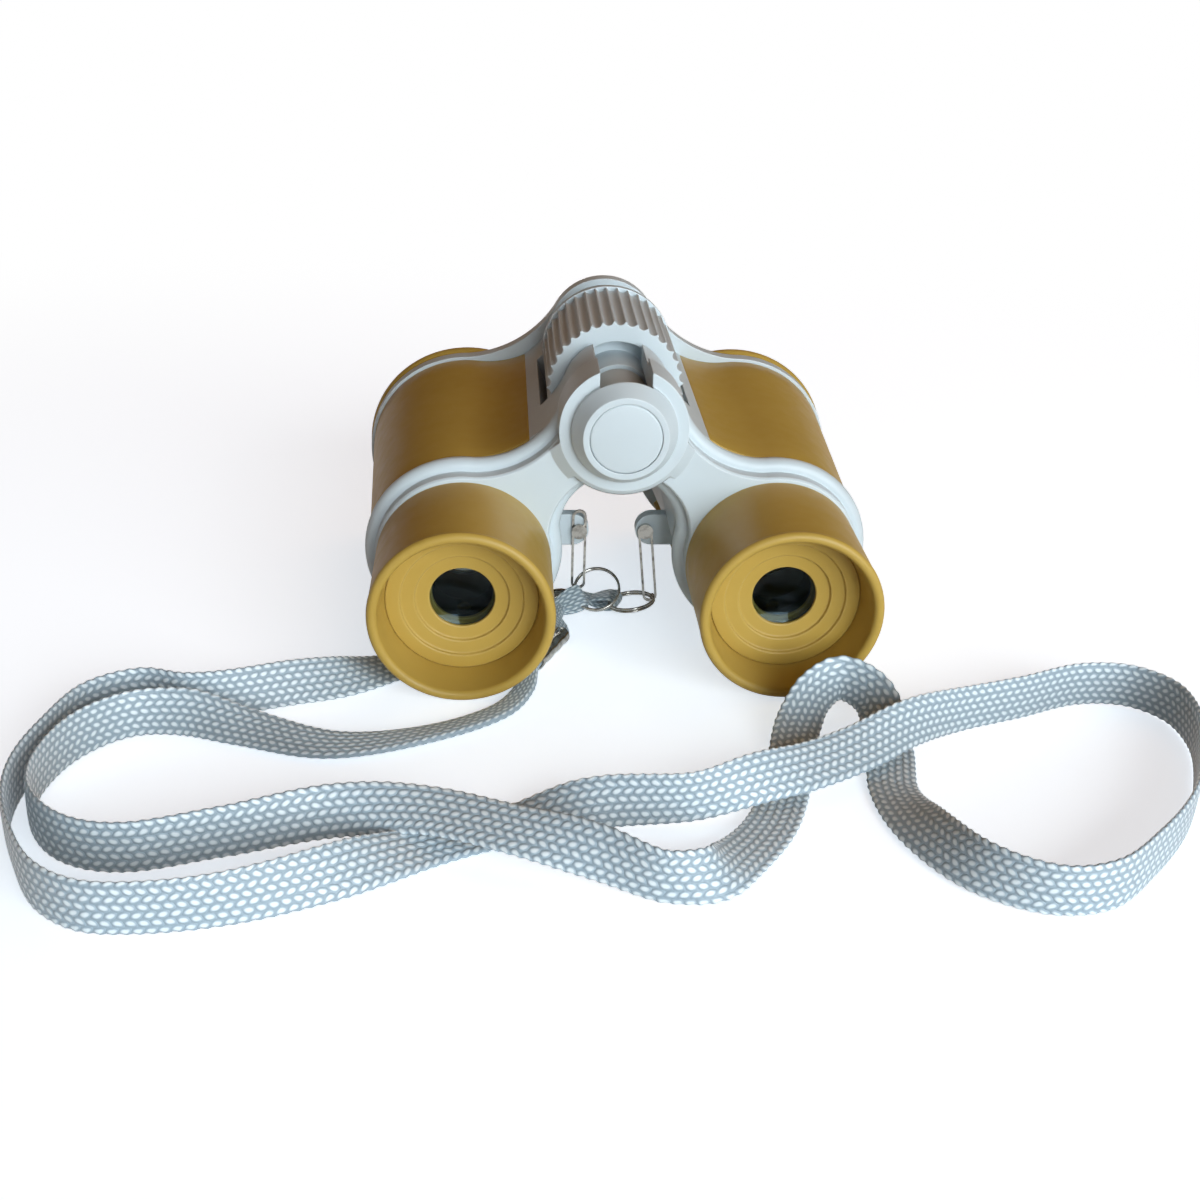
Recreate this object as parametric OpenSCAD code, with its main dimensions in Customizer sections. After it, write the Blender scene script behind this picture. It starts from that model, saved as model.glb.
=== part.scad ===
// Toy binoculars with a centre focus wheel, a moulded saddle and a braided neck strap.
// Lengths are millimetres. The part lies on a table with +X to the right, +Y away from
// the eyes and +Z up, and its origin is on the table under the middle of the body.
// Pieces are drawn with the barrel axes level, then lie() tips the nose up to rest.

/* [Spacing] */
// Distance between the two barrel axes
axis_gap = 60; // [58:0.5:66]
// Height of the focus axis above the barrel axes
hub_rise = 28; // [27:0.5:31]

/* [Eyecups] */
// Outer diameter of an eyecup at its lip
eyecup_d = 34; // [33:0.5:35]
// Length of an eyecup
eyecup_len = 23.4; // [21:0.2:28]
// Height of the lip above the flank
eyecup_step = 0.1; // [0.05:0.05:0.4]
// Wall of an eyecup where it grips the plate
eyecup_wall = 2.5; // [2:0.1:3]
// Radius of the rounded lip
lip_round = 1; // [0.7:0.1:1.2]
// Depth of the hollow for the eye
cup_depth = 7.6; // [5:0.2:10]
// Taper of the hollow, on the radius
cup_taper = 0.9; // [0.3:0.1:1.5]
// Thickness of the shelf that carries the ocular lens
shelf_t = 3; // [2.6:0.2:4]

/* [Ocular lenses] */
// Clear diameter of an ocular lens
ocular_d = 12; // [9:0.5:14]
// Rim of the lens under its ring
ocular_rim = 1; // [0.6:0.1:1.6]
// Edge thickness of an ocular lens
ocular_edge = 2.4; // [2:0.1:2.6]
// Depth of its hollow face
ocular_sag = 1; // [0.5:0.1:1.5]
// Height of each step of the ocular ring
ring_step = 0.7; // [0.3:0.1:0.9]
// Thickness of the ocular ring at the glass
ring_t = 0.8; // [0.6:0.1:1.2]
// Number of steps round the glass
ring_steps = 3; // [2:1:4]

/* [Rear end plate] */
// Thickness of the rear plate
rear_plate_len = 7; // [6:0.5:8]
// Diameter of the plate round a barrel at its crest
rear_crest_d = 38.4; // [37.6:0.2:40]
// Height of the plate's barrel centres above the barrel axes
rear_crest_rise = 0.9; // [0.4:0.1:1.2]
// Distance of the crest behind the plate's face
rear_crest_at = 4.6; // [4:0.2:5]
// Radius of the bead along the plate's edge
rear_round = 1.7; // [1.2:0.1:2]
// Height of the bead above the rim in front of it
rear_bead = 2.2; // [1.8:0.1:2.4]
// Width of the chamfer on that rim
rear_chamfer = 0.4; // [0.2:0.1:0.8]
// Slope of the plate behind the bead's crest, in degrees
rear_fall = 20; // [10:1:24]
// Diameter of the plate's hub
rear_hub_d = 24.2; // [23:0.2:25]
// Radius of the hollow curve between a barrel and the hub
rear_fillet = 17; // [15:0.5:20]
// Length of the collar that an eyecup slides over
collar_len = 4; // [3:0.5:6]
// Wall of that collar
collar_wall = 1.7; // [1.4:0.1:1.8]
// Diameter of the light path through the plate
aperture_d = 17; // [14:0.5:17]

/* [Hub boss] */
// Length of the boss in front of the plate
boss_len = 6.4; // [5:0.2:8]
// Diameter at the front of the boss
boss_front_d = 15.8; // [15.4:0.2:17]
// Diameter at the base of the boss
boss_base_d = 19.7; // [18:0.2:21]
// Length of the hub ring behind the boss
hub_ring_len = 1.8; // [1:0.2:2.6]
// Height of the boss cone above the hub ring
boss_step = 1.2; // [0.6:0.2:2]
// Width of the flare round the hub ring
hub_flare = 2.4; // [1:0.2:3]
// Diameter of the hub cap
cap_d = 13.4; // [13:0.1:13.8]
// Thickness of the hub cap
cap_t = 1.5; // [1:0.1:2]

/* [Front end plate] */
// Thickness of the front plate
front_plate_len = 3; // [2.4:0.2:4]
// Diameter of the plate round a barrel
front_rim_d = 44.2; // [43.6:0.2:44.2]
// Diameter of the plate's hub
front_hub_d = 24; // [23:0.2:25]
// Radius of the hollow curve between a barrel and the hub
front_fillet = 25; // [20:1:28]
// Diameter of the front hub cap
front_cap_d = 22; // [20.4:0.2:22.6]
// Thickness of the front hub cap
front_cap_t = 1.6; // [1.2:0.2:2.4]
// Diameter of the plug on the front hub cap
front_plug_d = 6; // [4:0.5:7]
// Length of that plug
front_plug_len = 2; // [1.4:0.2:2.2]

/* [Saddle] */
// Length of the saddle between the plates
saddle_len = 51.8; // [51.8:0.2:60]
// Width of the saddle between the covers
saddle_w = 34.6; // [33.6:0.2:35.6]
// Diameter of the saddle's sleeve
saddle_hub_d = 21.4; // [20.6:0.2:22]
// Depth of the saddle's skin under the rear crest
saddle_inset = 0.3; // [0.1:0.1:0.8]
// Radius of the hollow curve of the saddle
saddle_fillet = 20; // [18:0.5:22]
// Diameter of the arch under the saddle and the plates
arch_d = 22.8; // [22:0.2:23.2]
// Height of the arch's centre above the barrel axes
arch_rise = 5.5; // [5:0.1:6]
// Width of the slot along the sleeve
slot_w = 9.6; // [8:0.2:10.4]
// Wall between the slot and the front of the boss
slot_wall = 3.4; // [2.6:0.2:4]
// Diameter of the wheel pocket
pocket_d = 30.4; // [29.6:0.2:31]
// Distance of the wheel pocket behind the rear plate
pocket_at = 13.2; // [12:0.2:14]
// Wall between the wheel pocket and the nut
nut_wall = 1.4; // [1:0.2:2]

/* [Barrels] */
// Outer diameter of a barrel tube at the rear plate
tube_rear_d = 32.4; // [31:0.2:32.6]
// Outer diameter of a barrel tube at the front plate
tube_front_d = 39.6; // [38.6:0.2:39.8]
// Bore of the rear part of a tube
tube_bore_d = 27; // [25:0.5:28]
// Thickness of the flange at the rear of a tube
flange_t = 4; // [3:0.2:6]
// Length of the bore in which a lens cell slides
cell_bore_len = 20; // [18:0.5:24]

/* [Strap lugs] */
// Distance of a lug's middle behind the rear plate
lug_at = 11.6; // [10:0.2:14]
// Distance of a lug's round end from the mid-plane
lug_reach = 8.2; // [7.4:0.2:8.6]
// Depth of a lug's middle below the barrel axes
lug_drop = 1; // [0.8:0.1:4]
// Radius of a lug's round end
lug_r = 3.4; // [2.8:0.1:3.6]
// Thickness of a lug
lug_t = 2.4; // [1.8:0.1:3]
// Distance of the rivet hole from the mid-plane
rivet_reach = 6.8; // [6.4:0.1:7.6]

/* [Barrel covers] */
// Thickness of a cover
cover_t = 1.5; // [1.2:0.1:1.6]
// Diameter of a cover at the rear plate
cover_rear_d = 37; // [37:0.1:38]
// Height of a cover's centre at the rear plate
cover_rear_rise = 0.6; // [0.3:0.1:0.6]
// Diameter of a cover at the front plate
cover_front_d = 43; // [43:0.2:44.4]
// Radius of a cover's hollow curve beside the saddle
cover_fillet = 20; // [18:0.5:22]
// Angle at which a cover ends under the barrel
cover_end = 142; // [110:1:150]

/* [Objective hoods] */
// Outer diameter of a hood
hood_d = 45; // [45:0.2:47]
// Length of a hood
hood_len = 4.8; // [4.4:0.2:6]
// Inner diameter of a hood at its lip
hood_bore_d = 35.6; // [35:0.2:37]
// Diameter of the collar that a hood slides over
hood_seat_d = 38.4; // [37.6:0.2:39]
// Length of that collar
hood_seat_len = 2; // [1.4:0.2:3]

/* [Objective lenses] */
// Diameter of an objective lens
objective_d = 30.4; // [28:0.2:30.8]
// Edge thickness of an objective lens
objective_edge = 1.6; // [1.2:0.1:2]
// Rise of each face of the lens
objective_sag = 1.2; // [0.6:0.1:1.6]
// Outer diameter of a lens cell
cell_d = 33; // [32.6:0.1:33.4]
// Length of a lens cell
cell_len = 8.4; // [7:0.2:9]
// Width of the seat behind the lens
cell_seat = 1; // [0.8:0.1:1.4]
// Thickness of the ring that keeps the lens in
keeper_t = 1.2; // [1:0.1:1.4]

/* [Focus drive] */
// Diameter of the focus wheel over its ribs
wheel_d = 27.2; // [26:0.2:28]
// Length of the focus wheel
wheel_len = 25.6; // [24:0.2:26]
// Number of ribs round the wheel
wheel_ribs = 37; // [30:1:40]
// Depth of the grooves between the ribs
rib_depth = 0.75; // [0.5:0.05:1]
// Width of a rib at its tip
rib_tip = 0.3; // [0.2:0.05:0.6]
// Width of the ring on the face of the wheel
wheel_ring_w = 4; // [3:0.2:5]
// Depth of the recess in the face of the wheel
wheel_recess = 3; // [1:0.5:6]
// Diameter of the tube on the wheel
tube_d = 14; // [13:0.2:14.2]
// Length of that tube in front of the wheel
tube_len = 6.3; // [4:0.2:8]
// Diameter of the smooth flange at the far end of the wheel
wheel_flange_d = 27.6; // [26:0.2:28.4]
// Thickness of that flange
wheel_flange_t = 1.2; // [0.8:0.1:2]
// Diameter of the screw's journal in the boss
journal_d = 12.4; // [11.6:0.1:12.6]
// Diameter of the screw in the wheel
arbor_d = 10; // [9:0.2:10.4]
// Diameter of the screw in the nut
thread_d = 8; // [7:0.2:8.4]
// Diameter of the nut
nut_d = 13; // [12:0.2:13.4]
// Length of the nut
nut_len = 4; // [3.6:0.1:4.2]
// Travel of the nut each way from rest
nut_travel = 2; // [1.2:0.1:2]
// Width of an arm of the carriage
arm_w = 5; // [3:0.2:6]
// Diameter of the friction washer
washer_d = 18; // [15:0.5:22]
// Thickness of the friction washer
washer_t = 0.9; // [0.6:0.1:1]

/* [Screws] */
// Shank diameter of a screw
screw_d = 2.2; // [1.8:0.1:2.4]
// Head diameter of a screw
screw_head_d = 3.8; // [3.4:0.1:3.8]
// Head height of a screw
screw_head_t = 1.3; // [1:0.1:1.4]
// Radius of the circle of screws round an aperture
rear_screw_r = 10.5; // [10.4:0.1:10.6]
// Radius of the circle of screws round the front hub
front_screw_r = 8.9; // [8.6:0.1:9.2]
// Length of a front screw in the saddle
front_screw_len = 8; // [5:0.5:9]

/* [Strap hardware] */
// Length of the slot in a link
link_slot_len = 17; // [16.8:0.1:17.4]
// Width of that slot
link_slot_w = 2; // [1.9:0.1:2.2]
// Width of the metal round the slot
link_rim = 0.5; // [0.4:0.05:0.7]
// Thickness of a link
link_t = 0.5; // [0.4:0.1:0.6]
// Shank diameter of a rivet
rivet_d = 1.6; // [1.2:0.1:1.7]
// Head diameter of a rivet
rivet_head_d = 3.2; // [2.8:0.1:4]
// Head height of a rivet
rivet_head_t = 0.6; // [0.4:0.1:1]
// Outer diameter of a split ring
split_ring_d = 10.4; // [10:0.1:10.6]
// Wire of a split ring
split_ring_wire = 1; // [0.8:0.1:1.1]
// Outer diameter of a crimp ferrule
ferrule_d = 3.7; // [3.5:0.1:3.8]
// Wall of a crimp ferrule
ferrule_wall = 0.3; // [0.2:0.05:0.4]

/* [Neck strap] */
// Width of the flat braid
strap_w = 8.3; // [6:0.1:8.5]
// Thickness of the flat braid
strap_t = 0.9; // [0.7:0.05:0.95]
// Width of the braid where it is gathered
gather_w = 2.6; // [2.2:0.1:2.6]
// Thickness of the braid where it is gathered
gather_t = 2; // [1.6:0.1:2]
// Width of the braid where it folds round a split ring
fold_w = 4.4; // [3.6:0.1:4.6]
// Length of that fold beyond the wire
fold_len = 3.2; // [2.6:0.1:3.6]

/* [Fits] */
// Gap between fixed pieces
fit_gap = 0.05; // [0.02:0.01:0.1]
// Radial gap of a shaft that turns
run_gap = 0.05; // [0.02:0.01:0.1]
// Radial gap of a cell that slides
slide_gap = 0.08; // [0.04:0.01:0.1]
// Free gap beside moving pieces
clear_gap = 0.4; // [0.3:0.05:0.6]

/* [Hidden] */
$fn = 96;

// Colours of the mouldings, metal, glass and braid
grey = "#cbd6da";
tan = "#a98c4f";
steel = "#b9bcbe";
glass = "#3c4a44";
braid = "#eef3f6";

// Every cut runs past its face by this much
overrun = 1;
// Small overlap that turns a touching curve into a clean crossing
crease = 0.05;
// A full turn of the rivet, screw and rib patterns
turn = 360;

// Gap in front of the wheel, and free play on each side of its washer
wheel_lead = 1.4;
wheel_float = 0.25;

// Least walls, laps and gaps between pieces that hold each other
cell_wall = 1.2;
tube_wall = 1.2;
seat_wall = 1.2;
hood_wall = 3;
hood_lap = 0.3;
rim_step = 0.5;
crest_step = 0.6;
cover_gap = 0.1;
pocket_gap = 1.3;

// Stations along the barrels, from the eyecup lips
axis_x = axis_gap / 2;
y_rear = eyecup_len;
y_saddle = y_rear + rear_plate_len;
y_front = y_saddle + saddle_len;
y_hood = y_front + front_plate_len;
y_boss = y_rear - boss_len;
y_pocket = y_saddle + pocket_at;
y_wheel = y_pocket + wheel_lead;
// The wheel takes what the pocket's lead, the washer and the nut's room leave of the saddle
nut_room = nut_len + 2 * (nut_travel + clear_gap);
stack_len = pocket_at + wheel_lead + washer_t + 2 * wheel_float + nut_wall + nut_room;
wheel_run = min(wheel_len, saddle_len - stack_len);
y_wheel_end = y_wheel + wheel_run;
y_pocket_end = y_wheel_end + washer_t + 2 * wheel_float;
y_nut_room = y_pocket_end + nut_wall;
y_nut = (y_nut_room + y_front - nut_len) / 2;
y_cell = (y_nut_room + y_front - cell_len) / 2;

// Radii that several pieces share
flank_r = eyecup_d / 2 - eyecup_step;
grip_r = flank_r - eyecup_wall;
lip_centre_r = eyecup_d / 2 - lip_round;
floor_r = lip_centre_r - lip_round - cup_taper;
hood_round = hood_len / 2;
// Each ring is at least as large as what it holds
cell_r = max(cell_d / 2, objective_d / 2 + fit_gap + cell_wall);
cell_bore_r = cell_r + slide_gap;
bore_share = 1 - cell_bore_len / saddle_len;
tube_rear_r = tube_rear_d / 2;
tube_front_r = max(tube_front_d / 2, tube_rear_r + (cell_bore_r + tube_wall - tube_rear_r) / bore_share);
cover_rear_r = max(cover_rear_d / 2, tube_rear_r + cover_t + cover_rear_rise + cover_gap);
cover_front_r = max(cover_front_d / 2, tube_front_r + cover_t + cover_gap);
front_rim_r = max(front_rim_d / 2, cover_front_r + rim_step);
hood_seat_r = max(hood_seat_d / 2, cell_r + clear_gap + seat_wall);
hood_bore_r = max(hood_bore_d / 2, cell_r + clear_gap);
hood_r = max(hood_d / 2, front_rim_r + hood_lap, hood_seat_r + hood_wall);
hood_centre_r = hood_r - hood_round;
// The wheel and its flange turn clear of the pocket
wheel_r = min(wheel_d / 2, pocket_d / 2 - pocket_gap);
wheel_flange_r = min(wheel_flange_d / 2, pocket_d / 2 - pocket_gap);
ring_back = cup_depth + (ring_steps - 1) * ring_step + ring_t;
shelf_end = ring_back + shelf_t;

// The saddle's feet stand just above the strap lugs
saddle_foot = lug_r - lug_drop + fit_gap;

// The body rests on the eyecup lips and the hood lips, which sets its tilt
rest_run = y_hood + hood_round - lip_round;
rest_drop = hood_centre_r - lip_centre_r;
rest_tilt = atan2(rest_drop, rest_run) + asin((hood_round - lip_round) / norm([rest_run, rest_drop]));
rest_z = lip_centre_r * cos(rest_tilt) + lip_round - lip_round * sin(rest_tilt);
near_y = lip_round * cos(rest_tilt) - lip_centre_r * sin(rest_tilt) - lip_round;
far_y = (y_hood + hood_round) * cos(rest_tilt) + hood_centre_r * sin(rest_tilt) + hood_round;
rest_y = -(near_y + far_y) / 2;

// Point at distances d0 and d1 from p0 and p1, on the left of the line between them
function meet(p0, d0, p1, d1) =
    let (v = p1 - p0, run = norm(v), u = v / run)
    let (a = (d0 * d0 - d1 * d1 + run * run) / (2 * run), h = sqrt(d0 * d0 - a * a))
    p0 + a * u + h * [-u[1], u[0]];
// Share s of the way from a to b
function mix(a, b, s) = a + (b - a) * s;

// Places in the section across the barrels
hub_at = [0, hub_rise];
function barrel_at(rise) = [axis_x, rise];
// Centre of the hollow curve that touches the barrel circle and the hub circle
function hollow_at(barrel_r, rise, hub_r, hollow_r) =
    meet(hub_at, hub_r + hollow_r - crease, barrel_at(rise), barrel_r + hollow_r - crease);

rear_r = max(rear_crest_d / 2, cover_rear_r + crest_step);
rear_hollow = hollow_at(rear_r, rear_crest_rise, rear_hub_d / 2, rear_fillet);
front_hollow = hollow_at(front_rim_r, 0, front_hub_d / 2, front_fillet);
saddle_r = rear_r - saddle_inset;
saddle_hollow = hollow_at(saddle_r, rear_crest_rise, saddle_hub_d / 2, saddle_fillet);

// Tips the body so that it rests on the table
module lie() {
    translate([0, rest_y, rest_z])
        rotate([rest_tilt, 0, 0])
            children();
}

// A section in X and Z, extruded from y0 to y1
module slab(y0, y1) {
    translate([0, y1, 0])
        rotate([90, 0, 0])
            linear_extrude(y1 - y0)
                children();
}

// Turns a solid that stands on Z into one along a barrel, or along the focus axis
module barrel(side) {
    translate([side * axis_x, 0, 0])
        rotate([-90, 0, 0])
            children();
}

module hub() {
    translate([0, 0, hub_rise])
        rotate([-90, 0, 0])
            children();
}

// Plain cylinder and tube between two stations
module rod(r, z0, z1) {
    translate([0, 0, z0])
        cylinder(r = r, h = z1 - z0);
}

module pipe(r, bore_r, z0, z1) {
    difference() {
        rod(r, z0, z1);
        rod(bore_r, z0 - overrun, z1 + overrun);
    }
}

// Holes or screws on a circle round an axis
module around(count, r, first = 0) {
    for (i = [0 : count - 1])
        rotate([0, 0, first + turn * i / count])
            translate([r, 0, 0])
                children();
}

// Section of a web between the hub and both barrels: it runs through the circles' centres,
// and two hollow curves cut it above
module web(hollow, rise, half_w, foot) {
    intersection() {
        polygon([[-axis_x, rise], [-hollow[0], hollow[1]], hub_at, hollow, barrel_at(rise)]);
        translate([-half_w, foot])
            square([2 * half_w, hollow[1]]);
    }
}

module hollow_web(hollow, hollow_r, rise, half_w, foot) {
    difference() {
        web(hollow, rise, half_w, foot);
        for (side = [-1, 1])
            translate([side * hollow[0], hollow[1]])
                circle(hollow_r);
    }
}

// Rear plate's edge, from the crest inwards: a chamfered rim, then a bead that falls to the covers
rear_crest_y = y_rear + rear_crest_at;
edge_depth = 2 * rear_bead;
fall_at = [rear_round * (cos(rear_fall) - 1), rear_crest_y + rear_round * sin(rear_fall)];
fall_end = [fall_at[0] - (y_saddle - fall_at[1]) * tan(rear_fall), y_saddle];

module rear_edge() {
    rim = -rear_bead;
    bead = [-rear_round, rear_crest_y];
    polygon([
        [-edge_depth, y_rear], [rim - rear_chamfer, y_rear], [rim, y_rear + rear_chamfer],
        [rim, y_saddle], [-edge_depth, y_saddle]
    ]);
    translate(bead)
        circle(rear_round);
    translate([-edge_depth, rear_crest_y - rear_round])
        square([edge_depth - rear_round, y_saddle - rear_crest_y + rear_round]);
    polygon([bead, fall_at, fall_end, [-rear_round, y_saddle]]);
}

// A disc with that edge, and the cut that gives a hollow curve the same edge
module edged_disc(r) {
    rotate_extrude()
        union() {
            translate([0, y_rear])
                square([r - edge_depth, rear_plate_len]);
            translate([r, 0])
                rear_edge();
        }
}

module edged_cut(r) {
    rotate_extrude()
        difference() {
            translate([0, y_rear - overrun])
                square([r + edge_depth, rear_plate_len + 2 * overrun]);
            translate([r, 0])
                mirror([1, 0])
                    rear_edge();
        }
}

module arch_cut() {
    translate([0, 0, arch_rise])
        rotate([-90, 0, 0])
            edged_cut(arch_d / 2);
}

module rear_web() {
    difference() {
        slab(y_rear, y_saddle)
            web(rear_hollow, rear_crest_rise, axis_x, arch_rise);
        for (side = [-1, 1])
            translate([side * rear_hollow[0], 0, rear_hollow[1]])
                rotate([-90, 0, 0])
                    edged_cut(rear_fillet);
    }
}

// Boss in front of the plate: a cone on a ring, flared where it meets the plate's face
module rear_hub() {
    y_ring = y_rear - hub_ring_len;
    hub() {
        rod(rear_hub_d / 2, y_ring, y_saddle);
        translate([0, 0, y_boss])
            cylinder(r1 = boss_front_d / 2, r2 = boss_base_d / 2, h = y_ring - boss_step - y_boss);
        rod(boss_base_d / 2, y_ring - boss_step, y_ring);
    }
}

module rear_flare() {
    flare_r = rear_hub_d / 2 + hub_flare;
    intersection() {
        hub()
            translate([0, 0, y_rear - hub_ring_len])
                cylinder(r1 = rear_hub_d / 2, r2 = flare_r, h = hub_ring_len);
        slab(y_rear - hub_ring_len - overrun, y_rear + overrun)
            hollow_web(rear_hollow, rear_fillet + hub_flare, rear_crest_rise, flare_r, arch_rise);
    }
}

module screw_circle(clearance, z0, z1) {
    around(3, rear_screw_r, turn / 4)
        rod(screw_d / 2 + clearance, z0, z1);
}

module rear_end_plate() {
    color(grey)
        lie()
            difference() {
                union() {
                    for (side = [-1, 1]) {
                        translate([0, 0, rear_crest_rise])
                            barrel(side)
                                edged_disc(rear_r);
                        barrel(side)
                            rod(grip_r - fit_gap, y_rear - collar_len, y_rear + overrun);
                    }
                    difference() {
                        union() {
                            rear_web();
                            rear_hub();
                            rear_flare();
                        }
                        arch_cut();
                    }
                }
                for (side = [-1, 1])
                    barrel(side) {
                        rod(grip_r - fit_gap - collar_wall, y_rear - collar_len - overrun, y_rear);
                        rod(aperture_d / 2, y_rear - overrun, y_saddle + overrun);
                        screw_circle(fit_gap, y_rear - overrun, y_saddle + overrun);
                    }
                hub() {
                    rod(journal_d / 2 + run_gap, y_boss - overrun, y_saddle + overrun);
                    rod(cap_d / 2 + fit_gap, y_boss - overrun, y_boss + cap_t);
                }
                translate([-slot_w / 2, y_boss + slot_wall, hub_rise])
                    cube([slot_w, boss_len + rear_plate_len, rear_hub_d]);
            }
}

// Front plate with its rims, hub and the collars under the hoods
module front_outline() {
    difference() {
        union() {
            hollow_web(front_hollow, front_fillet, 0, axis_x, arch_rise);
            translate(hub_at)
                circle(d = front_hub_d);
        }
        translate([0, arch_rise])
            circle(d = arch_d);
    }
    for (side = [-1, 1])
        translate([side * axis_x, 0])
            circle(front_rim_r);
}

module front_end_plate() {
    color(grey)
        lie()
            difference() {
                union() {
                    slab(y_front, y_hood)
                        front_outline();
                    for (side = [-1, 1])
                        barrel(side)
                            rod(hood_seat_r, y_front, y_hood + hood_seat_len);
                }
                for (side = [-1, 1])
                    barrel(side)
                        rod(cell_r + clear_gap, y_front - overrun, y_hood + hood_seat_len + overrun);
                hub() {
                    rod(front_plug_d / 2 + fit_gap, y_hood - front_plug_len, y_hood + overrun);
                    around(3, front_screw_r, turn / 4) {
                        rod(screw_d / 2 + fit_gap, y_front - overrun, y_hood);
                        rod(screw_head_d / 2 + fit_gap, y_hood - screw_head_t, y_hood + overrun);
                    }
                }
            }
}

// Saddle between the plates: sleeve, slot, wheel pocket and the room for the nut and its arms
module saddle_block() {
    difference() {
        union() {
            slab(y_saddle, y_front)
                hollow_web(saddle_hollow, saddle_fillet, rear_crest_rise, saddle_w / 2, saddle_foot);
            hub()
                rod(saddle_hub_d / 2, y_saddle, y_front);
        }
        translate([0, 0, arch_rise])
            rotate([-90, 0, 0])
                rod(arch_d / 2, y_saddle - overrun, y_front + overrun);
    }
}

module tube_cone(extra) {
    translate([0, 0, y_saddle])
        cylinder(r1 = tube_rear_r + extra, r2 = tube_front_r + extra, h = saddle_len);
}

// Bar from the focus axis towards a barrel axis
arm_run = norm(hub_at - barrel_at(0));
arm_slope = atan2(-hub_rise, axis_x);

module arm_bar(side, width) {
    mirror([side < 0 ? 1 : 0, 0])
        translate(hub_at)
            rotate(arm_slope)
                translate([0, -width / 2])
                    square([arm_run, width]);
}

module arm_room(side) {
    slab(y_nut_room, y_front + overrun)
        arm_bar(side, arm_w + 2 * clear_gap);
}

module saddle() {
    color(grey)
        lie()
            difference() {
                saddle_block();
                for (side = [-1, 1]) {
                    barrel(side)
                        tube_cone(fit_gap);
                    arm_room(side);
                }
                hub() {
                    rod(tube_d / 2 + clear_gap, y_saddle - overrun, y_pocket + overrun);
                    rod(pocket_d / 2, y_pocket, y_pocket_end);
                    rod(arbor_d / 2 + run_gap, y_pocket_end - overrun, y_nut_room + overrun);
                    rod(nut_d / 2 + clear_gap, y_nut_room, y_front + overrun);
                    around(3, front_screw_r, turn / 4)
                        rod(screw_d / 2 + fit_gap, y_front - front_screw_len - clear_gap, y_front + overrun);
                }
                translate([-slot_w / 2, y_saddle - overrun, hub_rise])
                    cube([slot_w, pocket_at + 2 * overrun, saddle_hub_d]);
            }
}

// Barrel tube with its rear flange, lens bore and strap lug
module lug(side) {
    slab(y_saddle + lug_at - lug_t / 2, y_saddle + lug_at + lug_t / 2)
        translate([side * lug_reach, -lug_drop]) {
            circle(lug_r);
            translate([side > 0 ? 0 : lug_reach - axis_x, -lug_r])
                square([axis_x - lug_reach, 2 * lug_r]);
        }
}

module rivet_place(side) {
    translate([side * rivet_reach, y_saddle + lug_at, -lug_drop])
        rotate([-90, 0, 0])
            children();
}

module barrel_tube(side) {
    color(grey)
        lie()
            difference() {
                union() {
                    barrel(side)
                        tube_cone(0);
                    lug(side);
                }
                barrel(side) {
                    rod(aperture_d / 2, y_saddle - overrun, y_front);
                    rod(tube_bore_d / 2, y_saddle + flange_t, y_front);
                    rod(cell_bore_r, y_front - cell_bore_len, y_front + overrun);
                    screw_circle(fit_gap, y_saddle - overrun, y_saddle + flange_t + overrun);
                }
                rivet_place(side)
                    rod(rivet_d / 2 + fit_gap, -lug_t, lug_t);
                arm_room(side);
            }
}

module left_barrel_tube() { barrel_tube(-1); }

module right_barrel_tube() { barrel_tube(1); }

// Cover: a lofted panel from the saddle's edge over the barrel and round underneath
cover_edge_x = saddle_w / 2 + fit_gap;
cover_edge_z = saddle_hollow[1] - sqrt(pow(saddle_fillet, 2) - pow(saddle_hollow[0] - cover_edge_x, 2));
cover_rings = 6;
hollow_steps = 6;
barrel_steps = 30;

function cover_r(s) = mix(cover_rear_r, cover_front_r, s);
function cover_rise(s) = mix(cover_rear_rise, 0, s);
function cover_hollow(s) = meet([cover_edge_x, cover_edge_z], cover_fillet,
    barrel_at(cover_rise(s)), cover_r(s) + cover_fillet);
// Section points of the skin that lies depth t under the outside of the cover
function cover_section(s, t) =
    let (h = cover_hollow(s), c = barrel_at(cover_rise(s)), r = cover_r(s) - t, f = cover_fillet + t)
    let (from = -acos((cover_edge_x - h[0]) / f), to = atan2(c[1] - h[1], c[0] - h[0]))
    let (top = to + turn / 2)
    concat(
        [for (i = [0 : hollow_steps - 1]) h + f * angle_at(mix(from, to, i / hollow_steps))],
        [for (i = [0 : barrel_steps]) c + r * angle_at(mix(top, -cover_end, i / barrel_steps))]);
function angle_at(a) = [cos(a), sin(a)];

module cover_panel() {
    width = hollow_steps + barrel_steps + 1;
    loop = 2 * width;
    y0 = y_saddle + fit_gap;
    y1 = y_front - fit_gap;
    sections = [for (i = [0 : cover_rings])
        let (s = i / cover_rings, inner = cover_section(s, cover_t))
        concat([for (p = cover_section(s, 0)) [p[0], mix(y0, y1, s), p[1]]],
            [for (j = [width - 1 : -1 : 0]) [inner[j][0], mix(y0, y1, s), inner[j][1]]])];
    points = [for (section = sections) for (p = section) p];
    sides = [for (i = [0 : cover_rings - 1], j = [0 : loop - 1])
        let (a = i * loop + j, b = i * loop + (j + 1) % loop)
        each [[a, b, b + loop], [a, b + loop, a + loop]]];
    far = cover_rings * loop;
    ends = [for (j = [0 : width - 2])
        let (k = loop - 1 - j)
        each [[j, k, k - 1], [j, k - 1, j + 1], [far + j, far + k - 1, far + k], [far + j, far + j + 1, far + k - 1]]];
    polyhedron(points, concat(sides, ends));
}

module left_barrel_cover() {
    color(tan)
        lie()
            mirror([1, 0, 0])
                cover_panel();
}

module right_barrel_cover() {
    color(tan)
        lie()
            cover_panel();
}

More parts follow.
